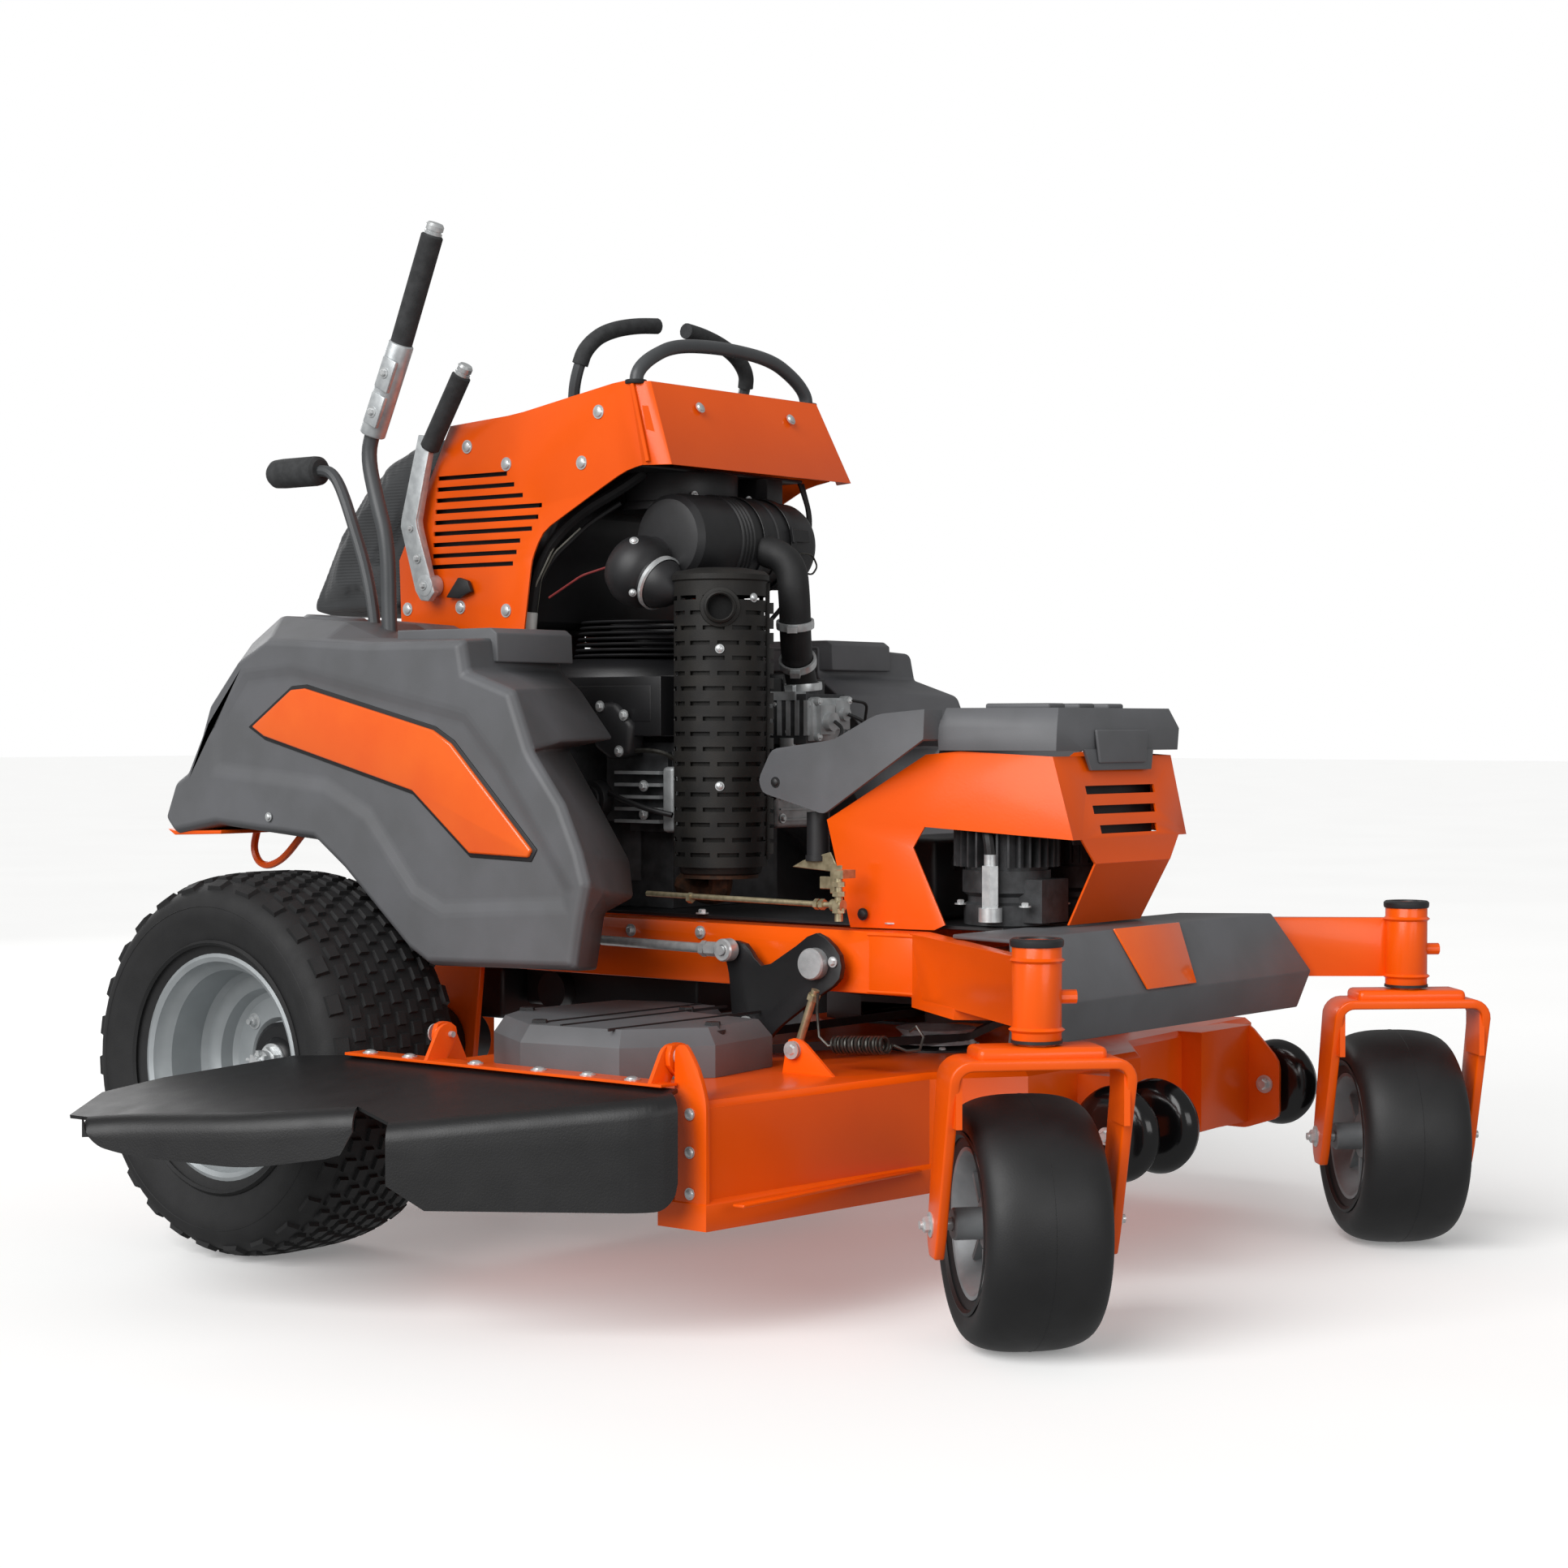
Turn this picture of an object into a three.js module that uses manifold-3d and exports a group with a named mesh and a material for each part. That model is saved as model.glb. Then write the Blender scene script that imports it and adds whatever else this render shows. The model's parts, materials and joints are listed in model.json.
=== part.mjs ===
// Stand-on zero-turn lawn mower.
// Millimetres, +Z up. The machine faces -Y, so its right-hand side is -X.
// Machine coordinates: x = 0 on the centre plane, y = 0 on the rear axle, z = 0 on the ground.
import * as THREE from 'three';
import { ConvexGeometry } from 'three/addons/geometries/ConvexGeometry.js';
import { mergeVertices } from 'three/addons/utils/BufferGeometryUtils.js';
import Module from 'manifold-3d';

const wasm = await Module();
wasm.setup();

// ---- driving dimensions ----
const ORIGIN_SHIFT_X = 184.75;        // moves the machine so that its box is centred on the origin
const ORIGIN_SHIFT_Y = 429.5;
const GAP = 0.3;                 // clearance between separate pieces

const REAR_WHEEL_X = 598;        // centre plane of a rear tyre
const REAR_TYRE_R = 292;
const REAR_TYRE_W = 267;
const REAR_TYRE_INNER_R = 165;

const CASTER_X = 508;            // caster pivot
const CASTER_Y = -1340;
const CASTER_TYRE_R = 165;
const CASTER_TYRE_W = 165;
const CASTER_TRAIL = 67;
const CASTER_ANGLE = { right: -41, left: -46 };   // degrees each caster is swung from straight ahead
const CASTER_TUBE_R = 31.75;
const CASTER_TUBE_Z = [406, 534];

const RAIL_X = [200, 250];       // inner and outer side of a frame rail
const RAIL_Z = [420, 510];
const RAIL_REAR_Y = 330;
const RAIL_FRONT_Y = -950;

const DECK_BOTTOM_Z = 149;
const DECK_TOP_Z = 317;
const DECK_HALF_W = 705;
const DECK_WALL = 5;
const ROLLER_Z = 223;            // axle height of the anti-scalp rollers
const ROLLER_Y = -1172;
const CORNER_ARM_X = 590;        // plate that carries the left corner roller
const CORNER_ROLLER_Y = -1048;
const BLADE_R = 228;
const BLADE_SPOTS = [
  { name: 'right', x: -430, y: -640 },
  { name: 'centre', x: 0, y: -815 },
  { name: 'left', x: 430, y: -640 },
];

const TOWER_X = 225;             // outer face of a tower side panel
const SHEET = 3;                 // sheet steel thickness

const HOOD_REAR_X = 225;
const HOOD_REAR_Y = -781;
const HOOD_TAPER = 0.191;        // how fast the hood narrows towards the front

const ORANGE = '#e4570f';
const GREY = '#5f6164';
const BLACK = '#1b1b1c';
const STEEL = '#a9abad';
const RUBBER = '#202022';

const mower = new THREE.Group();
mower.position.set(ORIGIN_SHIFT_X, ORIGIN_SHIFT_Y, 0);
const SIDES = [{ name: 'right', s: -1 }, { name: 'left', s: 1 }];

// ---- geometry helpers ----
function v(x, y, z) {
  return new THREE.Vector3(x, y, z);
}

function signedVolume(positions, index) {
  const [a, b, c] = [v(0, 0, 0), v(0, 0, 0), v(0, 0, 0)];
  let sum = 0;
  for (let i = 0; i < index.length; i += 3) {
    a.fromArray(positions, index[i] * 3);
    b.fromArray(positions, index[i + 1] * 3);
    c.fromArray(positions, index[i + 2] * 3);
    sum += a.dot(b.cross(c));
  }
  return sum;
}

// Turns any closed three.js geometry into a solid whose faces point outwards.
function solid(geometry) {
  const bare = geometry.clone();
  bare.deleteAttribute('normal');
  bare.deleteAttribute('uv');
  const merged = mergeVertices(bare, 1e-3);
  const positions = merged.attributes.position.array;
  const index = Uint32Array.from(merged.index.array);
  if (signedVolume(positions, index) < 0) {
    for (let i = 0; i < index.length; i += 3) {
      [index[i + 1], index[i + 2]] = [index[i + 2], index[i + 1]];
    }
  }
  return new wasm.Manifold(new wasm.Mesh({
    numProp: 3, vertProperties: Float32Array.from(positions), triVerts: index,
  }));
}

function join(...solids) {
  return solids.reduce((sum, piece) => sum.add(piece));
}

function box(x0, x1, y0, y1, z0, z1) {
  const geometry = new THREE.BoxGeometry(Math.abs(x1 - x0), Math.abs(y1 - y0), Math.abs(z1 - z0));
  geometry.translate((x0 + x1) / 2, (y0 + y1) / 2, (z0 + z1) / 2);
  return solid(geometry);
}

// Box given for the left-hand side and placed on side s.
function sideBox(s, x0, x1, y0, y1, z0, z1) {
  return box(s * x0, s * x1, y0, y1, z0, z1);
}

function rod(from, to, radius, sides = 16, endRadius = radius) {
  const along = to.clone().sub(from);
  const geometry = new THREE.CylinderGeometry(endRadius, radius, along.length(), sides);
  const turn = new THREE.Quaternion().setFromUnitVectors(v(0, 1, 0), along.clone().normalize());
  geometry.applyQuaternion(turn);
  const middle = from.clone().add(to).multiplyScalar(0.5);
  geometry.translate(middle.x, middle.y, middle.z);
  return solid(geometry);
}

// Round tube bent along a smooth curve.
function bentTube(points, radius, sides = 10, steps = 20) {
  const curve = new THREE.CatmullRomCurve3(points, false, 'centripetal');
  const section = new THREE.Shape();
  for (let i = 0; i < sides; i += 1) {
    const a = (i / sides) * Math.PI * 2;
    const [x, y] = [Math.cos(a) * radius, Math.sin(a) * radius];
    if (i === 0) section.moveTo(x, y);
    else section.lineTo(x, y);
  }
  section.closePath();
  return solid(new THREE.ExtrudeGeometry(section, { steps, extrudePath: curve, bevelEnabled: false }));
}

// Closed outline with rounded corners; corner is one radius, or one radius for each point.
function outline(points, corner = 0, segments = 2) {
  const shape = new THREE.Shape();
  const count = points.length;
  points.forEach((p, i) => {
    const here = new THREE.Vector2(...p);
    const before = new THREE.Vector2(...points[(i + count - 1) % count]);
    const after = new THREE.Vector2(...points[(i + 1) % count]);
    const r = Array.isArray(corner) ? corner[i] : corner;
    const reach = Math.min(r, here.distanceTo(before) * 0.45, here.distanceTo(after) * 0.45);
    const start = here.clone().add(before.sub(here).setLength(reach));
    const end = here.clone().add(after.sub(here).setLength(reach));
    for (let k = 0; k <= (reach > 0 ? segments : 0); k += 1) {
      const t = reach > 0 ? k / segments : 0;
      const x = (1 - t) ** 2 * start.x + 2 * t * (1 - t) * here.x + t * t * end.x;
      const y = (1 - t) ** 2 * start.y + 2 * t * (1 - t) * here.y + t * t * end.y;
      if (i === 0 && k === 0) shape.moveTo(x, y);
      else shape.lineTo(x, y);
    }
  });
  shape.closePath();
  return shape;
}

// Extrusions of an outline along each machine axis.
function alongX(shape, x0, x1) {
  const geometry = new THREE.ExtrudeGeometry(shape, { depth: x1 - x0, bevelEnabled: false });
  geometry.applyMatrix4(new THREE.Matrix4().set(0, 0, 1, x0, 1, 0, 0, 0, 0, 1, 0, 0, 0, 0, 0, 1));
  return solid(geometry);
}

function alongY(shape, y0, y1) {
  const geometry = new THREE.ExtrudeGeometry(shape, { depth: y1 - y0, bevelEnabled: false });
  geometry.rotateX(Math.PI / 2);
  geometry.translate(0, y1, 0);
  return solid(geometry);
}

function alongZ(shape, z0, z1) {
  const geometry = new THREE.ExtrudeGeometry(shape, { depth: z1 - z0, bevelEnabled: false });
  geometry.translate(0, 0, z0);
  return solid(geometry);
}

// Extrusion along X on side s, between two distances from the centre plane.
function alongSide(s, shape, near, far) {
  return s > 0 ? alongX(shape, near, far) : alongX(shape, -far, -near);
}

// Solid skinned over a stack of rings that all have the same number of points.
function loft(rings) {
  const count = rings[0].length;
  const positions = rings.flat().flatMap((p) => [p.x, p.y, p.z]);
  const index = [];
  for (let r = 0; r + 1 < rings.length; r += 1) {
    for (let i = 0; i < count; i += 1) {
      const j = (i + 1) % count;
      const [a, b] = [r * count + i, r * count + j];
      index.push(a, b, b + count, a, b + count, a + count);
    }
  }
  const flat = (ring) => {
    const spread = new THREE.Box3().setFromPoints(ring).getSize(v(0, 0, 0));
    const thin = ['x', 'y', 'z'].reduce((m, k) => (spread[k] < spread[m] ? k : m), 'x');
    const [p, q] = { x: ['y', 'z'], y: ['z', 'x'], z: ['x', 'y'] }[thin];
    return ring.map((point) => new THREE.Vector2(point[p], point[q]));
  };
  const last = (rings.length - 1) * count;
  const near = THREE.ShapeUtils.triangulateShape(flat(rings[0]), []);
  const area = THREE.ShapeUtils.area(flat(rings[0]));
  const step = rings[1][0].clone().sub(rings[0][0]);
  const spread = new THREE.Box3().setFromPoints(rings[0]).getSize(v(0, 0, 0));
  const thin = ['x', 'y', 'z'].reduce((m, k) => (spread[k] < spread[m] ? k : m), 'x');
  const sidesOut = area * step[thin] > 0;
  const side = sidesOut ? index : flipped(index);
  const nearUp = windingUp(flat(rings[0]), near);
  const nearOut = step[thin] > 0 ? flipped(nearUp) : nearUp;
  const farUp = windingUp(flat(rings[rings.length - 1]),
    THREE.ShapeUtils.triangulateShape(flat(rings[rings.length - 1]), []));
  const farOut = step[thin] > 0 ? farUp : flipped(farUp);
  const geometry = new THREE.BufferGeometry();
  geometry.setAttribute('position', new THREE.Float32BufferAttribute(positions, 3));
  geometry.setIndex([...side, ...nearOut, ...farOut.map((k) => k + last)]);
  return solid(geometry);
}

function flipped(index) {
  const result = [];
  for (let i = 0; i < index.length; i += 3) result.push(index[i], index[i + 2], index[i + 1]);
  return result;
}

// Flat triangle list with every triangle anticlockwise.
function windingUp(points, faces) {
  return faces.flatMap(([a, b, c]) => {
    const turn = points[b].clone().sub(points[a]).cross(points[c].clone().sub(points[a]));
    return turn > 0 ? [a, b, c] : [a, c, b];
  });
}

// Outline in the YZ plane as a ring at distance x.
function ringAt(x, points) {
  return points.map(([y, z]) => v(x, y, z));
}

// Flat slab: planar convex corners thickened along the direction of push.
function slab(corners, push) {
  return solid(new ConvexGeometry([...corners, ...corners.map((p) => p.clone().add(push))]));
}

// Body of revolution about a machine axis; profile is [radius, height] from end to end.
function turned(profile, axis, centre, segments = 32) {
  const points = profile.map(([r, h]) => new THREE.Vector2(r, h));
  const geometry = new THREE.LatheGeometry(points, segments);
  if (axis === 'x') geometry.rotateZ(-Math.PI / 2);
  if (axis === 'z') geometry.rotateX(Math.PI / 2);
  geometry.translate(centre.x, centre.y, centre.z);
  return solid(geometry);
}

// Ring of revolution: the profile closes on itself and doesn't touch the axis.
function turnedRing(profile, axis, centre, segments = 32) {
  return turned([...profile, profile[0]], axis, centre, segments);
}

function place(piece, matrix) {
  return piece.transform(matrix.elements);
}

function add(name, piece, color, roughness = 0.5, metalness = 0) {
  const mesh = piece.getMesh();
  const geometry = new THREE.BufferGeometry();
  geometry.setAttribute('position', new THREE.BufferAttribute(new Float32Array(mesh.vertProperties), 3));
  geometry.setIndex([...mesh.triVerts]);
  geometry.computeVertexNormals();
  const node = new THREE.Mesh(geometry, new THREE.MeshStandardMaterial({ color, roughness, metalness }));
  node.name = name;
  mower.add(node);
}

// ---- frame ----
function frameRail(s) {
  const rail = sideBox(s, RAIL_X[0], RAIL_X[1], RAIL_FRONT_Y, RAIL_REAR_Y, ...RAIL_Z);
  const axleDrop = outline([[-95, 430], [95, 430], [70, 215], [-70, 215]], 12);
  const drop = alongSide(s, axleDrop, RAIL_X[1] - 12, RAIL_X[1]);
  const shaftHole = rod(v(s * 190, 0, 292), v(s * 300, 0, 292), 46, 24);
  const crankStub = rod(v(s * 245, -804, 462), v(s * 268, -804, 462), 24, 16);
  return join(rail, drop.subtract(shaftHole), crankStub);
}

// Slanted beam from the rail to the caster tube, with the tube welded on its end.
function casterArm(s) {
  const beam = [
    v(s * (RAIL_X[0] + 1), RAIL_FRONT_Y - GAP, 0), v(s * (RAIL_X[1] - 1), RAIL_FRONT_Y - GAP, 0),
    v(s * (CASTER_X + 14), CASTER_Y + 6, 0), v(s * (CASTER_X - 26), CASTER_Y + 30, 0),
  ];
  const low = beam.map((p) => v(p.x, p.y, RAIL_Z[0]));
  const arm = slab(low, v(0, 0, RAIL_Z[1] - RAIL_Z[0]));
  const tube = rod(v(s * CASTER_X, CASTER_Y, CASTER_TUBE_Z[0]), v(s * CASTER_X, CASTER_Y, CASTER_TUBE_Z[1]),
    CASTER_TUBE_R, 28);
  const bore = rod(v(s * CASTER_X, CASTER_Y, 300), v(s * CASTER_X, CASTER_Y, CASTER_TUBE_Z[1] - 8), 16.5, 20);
  const bracket = outline([[s * 208, -955], [s * 252, -955], [s * 360, -1105], [s * 330, -1150],
    [s * 240, -1080]]);
  const foot = alongZ(bracket, RAIL_Z[0] - 14, RAIL_Z[0] + 1);
  const greaseBoss = rod(v(s * CASTER_X + 20, CASTER_Y - 20, 462), v(s * CASTER_X + 36, CASTER_Y - 36, 462),
    9, 10);
  return join(arm, tube, foot, greaseBoss).subtract(bore);
}

function rearFrame() {
  const cross = box(-RAIL_X[0] + GAP, RAIL_X[0] - GAP, 250, 326, 420, 510);
  const plate = box(-RAIL_X[0] + GAP, RAIL_X[0] - GAP, 318, 326, 200, 421);
  const ears = SIDES.map(({ s }) => sideBox(s, 170, 182, 325, 372, 205, 262));
  return join(cross, plate, ...ears);
}

// Angled grey plate between the caster arms: top flange, leaning face and tucked-under lip.
function frontBumper() {
  const section = [[-1060, 517], [-1193, 519], [-1234, 430], [-1218, 374],
    [-1212, 374], [-1228, 430], [-1190, 513], [-1060, 511]];
  const halfWidths = [300, 352, 402, 388, 388, 402, 352, 300];
  const ring = (s) => section.map(([y, z], i) => v(s * halfWidths[i], y, z));
  return loft([ring(-1), ring(1)]);
}

// Both caster arms and the tube between them are one weldment.
function frontAxle() {
  return join(casterArm(-1), casterArm(1), box(-360, 360, -1172, -1112, 440, 500));
}

// ---- wheels ----
function rearTyre(s) {
  const h = REAR_TYRE_W / 2;
  const profile = [[REAR_TYRE_INNER_R, -h + 26], [225, -h], [268, -h + 12], [REAR_TYRE_R - 4, -h + 40],
    [REAR_TYRE_R, -h + 80], [REAR_TYRE_R, h - 80], [REAR_TYRE_R - 4, h - 40], [268, h - 12], [225, h],
    [REAR_TYRE_INNER_R, h - 26]];
  return turnedRing(profile, 'x', v(s * REAR_WHEEL_X, 0, REAR_TYRE_R), 28);
}

function rearRim(s) {
  const h = REAR_TYRE_W / 2;
  const outer = REAR_TYRE_INNER_R - GAP;
  const outward = [[24, -30], [108, -30], [150, -78], [outer, -h + 28], [outer, h - 22], [158, h - 18],
    [143, 20], [112, -18], [24, -18]];
  const profile = outward.map(([r, x]) => [r, s * x]);
  return turnedRing(profile, 'x', v(s * REAR_WHEEL_X, 0, REAR_TYRE_R), 28);
}

function wheelMotor(s) {
  const at = (x) => v(s * x, 0, REAR_TYRE_R);
  return join(rod(at(175), at(300), 45, 24), rod(at(250 + GAP), at(330), 62, 24));
}

function wheelHub(s) {
  const at = (x) => v(s * x, 0, REAR_TYRE_R);
  const neck = rod(at(331), at(440), 30, 20);
  const flange = rod(at(430), at(REAR_WHEEL_X - 28), 52, 24);
  const shaft = rod(at(REAR_WHEEL_X - 40), at(REAR_WHEEL_X + 10), 25, 20);
  const nut = rod(at(REAR_WHEEL_X + 8), at(REAR_WHEEL_X + 28), 24, 6);
  const thread = rod(at(REAR_WHEEL_X + 20), at(REAR_WHEEL_X + 46), 10, 12);
  return join(neck, flange, shaft, nut, thread);
}

function casterTurn(s) {
  const angle = s < 0 ? CASTER_ANGLE.right : CASTER_ANGLE.left;
  const turn = new THREE.Matrix4().makeRotationZ(THREE.MathUtils.degToRad(angle));
  return new THREE.Matrix4().makeTranslation(s * CASTER_X, CASTER_Y, 0).multiply(turn);
}

function casterLeg(sign) {
  const shape = outline([[-38, 362], [38, 362], [CASTER_TRAIL + 24, 150], [CASTER_TRAIL + 10, 122],
    [CASTER_TRAIL - 20, 122], [CASTER_TRAIL - 34, 150]], [0, 0, 20, 12, 12, 20]);
  return sign > 0 ? alongX(shape, 96, 122) : alongX(shape, -122, -96);
}

// Fork: crown with a raised channel, two legs, pivot spindle and axle bolt.
function casterYoke() {
  const crownShape = outline([[-123, 386], [123, 386], [123, 352], [-123, 352]], [26, 26, 0, 0], 4);
  const crownBar = alongY(crownShape, -44, 44);
  const channel = box(-96, 96, -40, 40, 384, 404);
  const spindle = rod(v(0, 0, 400), v(0, 0, 520), 16, 20);
  const legs = [casterLeg(1), casterLeg(-1)];
  const axle = rod(v(-140, CASTER_TRAIL, CASTER_TYRE_R), v(140, CASTER_TRAIL, CASTER_TYRE_R), 8, 12);
  const nuts = [-1, 1].map((e) => rod(v(e * 121, CASTER_TRAIL, CASTER_TYRE_R),
    v(e * 133, CASTER_TRAIL, CASTER_TYRE_R), 14, 6));
  return join(crownBar, channel, spindle, ...legs, axle, ...nuts);
}

function casterTyre() {
  const [r, h] = [CASTER_TYRE_R, CASTER_TYRE_W / 2];
  const profile = [[92, -h + 14], [125, -h], [156, -h + 20], [r, -h + 52], [r, h - 52], [156, h - 20],
    [125, h], [92, h - 14]];
  return turnedRing(profile, 'x', v(0, CASTER_TRAIL, r), 24);
}

function casterRim() {
  const h = CASTER_TYRE_W / 2;
  const profile = [[9, -94], [21, -94], [21, -46], [91, -h + 17], [91, h - 17], [21, 46], [21, 94], [9, 94]];
  return turnedRing(profile, 'x', v(0, CASTER_TRAIL, CASTER_TYRE_R), 24);
}

// ---- deck ----
const DECK_PLAN = [
  [-DECK_HALF_W, -385], [-DECK_HALF_W, -957], [-268, -998], [-150, -1085],
  [150, -1085], [268, -998], [DECK_HALF_W, -957], [DECK_HALF_W, -385],
  [560, -345], [280, -345], [140, -500], [-140, -500], [-280, -345], [-560, -345],
];

function grown(points, distance) {
  const count = points.length;
  const turn = THREE.ShapeUtils.area(points.map((p) => new THREE.Vector2(...p))) > 0 ? 1 : -1;
  return points.map((p, i) => {
    const here = new THREE.Vector2(...p);
    const before = here.clone().sub(new THREE.Vector2(...points[(i + count - 1) % count])).normalize();
    const after = new THREE.Vector2(...points[(i + 1) % count]).sub(here).normalize();
    const n1 = new THREE.Vector2(before.y, -before.x);
    const n2 = new THREE.Vector2(after.y, -after.x);
    const bisector = n1.clone().add(n2).normalize();
    const reach = (turn * distance) / Math.max(bisector.dot(n1), 0.35);
    return [here.x + bisector.x * reach, here.y + bisector.y * reach];
  });
}

function deckShell() {
  const ring = (plan, z) => plan.map(([x, y]) => v(x, y, z));
  const inner = grown(DECK_PLAN, -DECK_WALL);
  const lip = grown(DECK_PLAN, 7);
  const top = grown(DECK_PLAN, -8);
  const body = loft([ring(DECK_PLAN, DECK_BOTTOM_Z), ring(DECK_PLAN, DECK_TOP_Z - 9), ring(top, DECK_TOP_Z)]);
  const flange = loft([ring(lip, DECK_BOTTOM_Z), ring(lip, DECK_BOTTOM_Z + 34),
    ring(DECK_PLAN, DECK_BOTTOM_Z + 40)]);
  const hollow = loft([ring(inner, DECK_BOTTOM_Z - 10), ring(inner, DECK_TOP_Z - DECK_WALL)]);
  const mouth = box(-DECK_HALF_W - 30, -DECK_HALF_W + 40, -880, -470, DECK_BOTTOM_Z - 10, 300);
  const spindleHoles = BLADE_SPOTS.map(({ x, y }) => rod(v(x, y, 290), v(x, y, 340), 36, 24));
  const cornerShape = outline([[-962, 149], [-908, 149], [-908, 386], [-925, 392], [-948, 360], [-962, 318]],
    [0, 0, 10, 10, 16, 12]);
  const frontCorner = alongSide(-1, cornerShape, DECK_HALF_W - 2, DECK_HALF_W + 5);
  const earShape = [[-690, 312], [-650, 312], [-655, 335], [-684, 390], [-714, 390], [-718, 360],
    [-697, 345]];
  const hingeEars = [-470, -905].map((y) => alongY(outline(earShape, [0, 0, 8, 10, 12, 12, 4]), y, y + 8));
  const hangerShape = outline([[-925, 312], [-828, 312], [-838, 366], [-862, 366]], [0, 0, 12, 12]);
  const hangers = SIDES.map(({ s }) => alongX(hangerShape, s * 388, s * 388 + 6));
  const rollerArm = join(box(-22, 22, -1150, -1078, 205, 300),
    rod(v(-82, ROLLER_Y, ROLLER_Z), v(82, ROLLER_Y, ROLLER_Z), 7, 10),
    box(-22, 22, ROLLER_Y - 12, -1140, 208, 238));
  const cornerArm = join(
    alongX(outline([[-1074, 170], [-1012, 149], [-962, 149], [-962, 317], [-1020, 317], [-1074, 262]],
      [10, 6, 0, 0, 8, 14]), CORNER_ARM_X, CORNER_ARM_X + 6),
    alongY(outline([[440, 160], [CORNER_ARM_X + 6, 160], [CORNER_ARM_X + 6, 317], [440, 317]]), -1018, -1012),
    box(440, CORNER_ARM_X + 6, -1018, -965, 311, 317),
    box(440, 446, -1018, -965, 160, 317),
    rod(v(CORNER_ARM_X + 2, CORNER_ROLLER_Y, ROLLER_Z),
      v(CORNER_ARM_X + 72, CORNER_ROLLER_Y, ROLLER_Z), 7, 10),
  );
  const shell = join(body, flange).subtract(hollow).subtract(mouth).subtract(join(...spindleHoles));
  return join(shell, frontCorner, ...hingeEars, ...hangers, rollerArm, cornerArm);
}

function beltCover(s) {
  const plan = [[s * 640, -560], [s * 560, -430], [s * 470, -385], [s * 262, -400], [s * 225, -500],
    [s * 235, -600], [s * 330, -625], [s * 350, -780], [s * 500, -800], [s * 610, -720]];
  const top = grown(plan, -16);
  const ring = (points, z) => points.map(([x, y]) => v(x, y, z));
  const cover = loft([ring(plan, DECK_TOP_Z + GAP), ring(plan, 362), ring(top, 386)]);
  const inside = loft([ring(grown(plan, -4), DECK_TOP_Z - 5), ring(grown(plan, -4), 360),
    ring(grown(plan, -20), 381)]);
  const beltMouth = box(s * 200, s * 262, -640, -500, 322, 352);
  return cover.subtract(inside).subtract(beltMouth);
}

function bladeSpindle({ x, y }, index) {
  const bearing = rod(v(x, y, 248), v(x, y, 330), 30, 12);
  const pulley = turned([[0, 326], [62, 326], [50, 337], [62, 348], [0, 348]], 'z',
    v(x, y, 0), 20);
  const shaft = rod(v(x, y, 180), v(x, y, 250), 13, 14);
  const bolt = rod(v(x, y, 168), v(x, y, 181), 15, 6);
  const tip = BLADE_R;
  const barPlan = outline([[-tip, -31], [tip, -31], [tip, 20], [tip - 24, 31], [-tip, 31], [-tip, -20]]);
  const bar = alongZ(barPlan, 180, 186.5);
  const sails = [-1, 1].map((e) => slab([
    v(e * (tip - 2), e * 28, 184), v(e * (tip - 90), e * 28, 184),
    v(e * (tip - 90), e * 42, 200), v(e * (tip - 2), e * 42, 204),
  ], v(0, 0, 5)));
  const blade = join(bar, ...sails);
  const turn = new THREE.Matrix4().makeRotationZ([0.5, 0, -0.5][index]);
  const moved = place(blade, new THREE.Matrix4().makeTranslation(x, y, 0).multiply(turn));
  return join(bearing, pulley, shaft, bolt, moved);
}

function roller(x, y, width, radius = 70) {
  const profile = [[8, -width / 2], [radius - 22, -width / 2], [radius - 6, -width / 4], [radius, 0],
    [radius - 6, width / 4], [radius - 22, width / 2], [8, width / 2]];
  return turnedRing(profile, 'x', v(x, y, ROLLER_Z), 16);
}

// ---- discharge deflector ----
const DEFLECTOR_SLOPE = 0.177;
function deflectorZ(x) {
  return 332 + (x + 738) * DEFLECTOR_SLOPE;
}

// Open line shifted sideways by a distance.
function shiftedLine(points, distance) {
  return points.map((p, i) => {
    const before = points[Math.max(i - 1, 0)];
    const after = points[Math.min(i + 1, points.length - 1)];
    const across = new THREE.Vector2(after[1] - before[1], before[0] - after[0]).setLength(distance);
    return [p[0] + across.x, p[1] + across.y];
  });
}

function dischargeDeflector() {
  const plan = [[-725, -310], [-752, -215], [-900, -105], [-985, -75], [-1085, -130], [-1101, -180],
    [-1070, -235], [-1012, -409], [-943, -545], [-984, -652], [-788, -933], [-749, -950], [-725, -940]];
  const ring = (points, dz) => points.map(([x, y]) => v(x, y, deflectorZ(x) + dz));
  const top = loft([ring(plan, -4), ring(plan, 0)]);
  const skirt = (line, depths) => {
    const wall = [...line, ...shiftedLine(line, 4).reverse()];
    const bottoms = [...depths, ...[...depths].reverse()];
    return loft([wall.map(([x, y], i) => v(x, y, bottoms[i])), ring(wall, -1)]);
  };
  const rear = skirt([[-943, -545], [-1012, -409], [-1070, -235], [-1101, -180]], [236, 212, 222, 252]);
  const front = skirt([[-752, -950], [-788, -933], [-984, -652]], [186, 178, 178]);
  return join(top, rear, front);
}

function deflectorHinge() {
  const strip = box(-745, -713.5, -915, -893, 336, 340).add(box(-745, -705, -893.5, -315, 336, 340));
  const earShape = [[-745, 337], [-705, 337], [-684, 366], [-684, 384], [-700, 390], [-718, 384]];
  const ear = (y) => alongY(outline(earShape, [0, 0, 10, 8, 8, 10]), y, y + 6);
  return join(strip, ear(-480), ear(-896));
}

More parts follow.
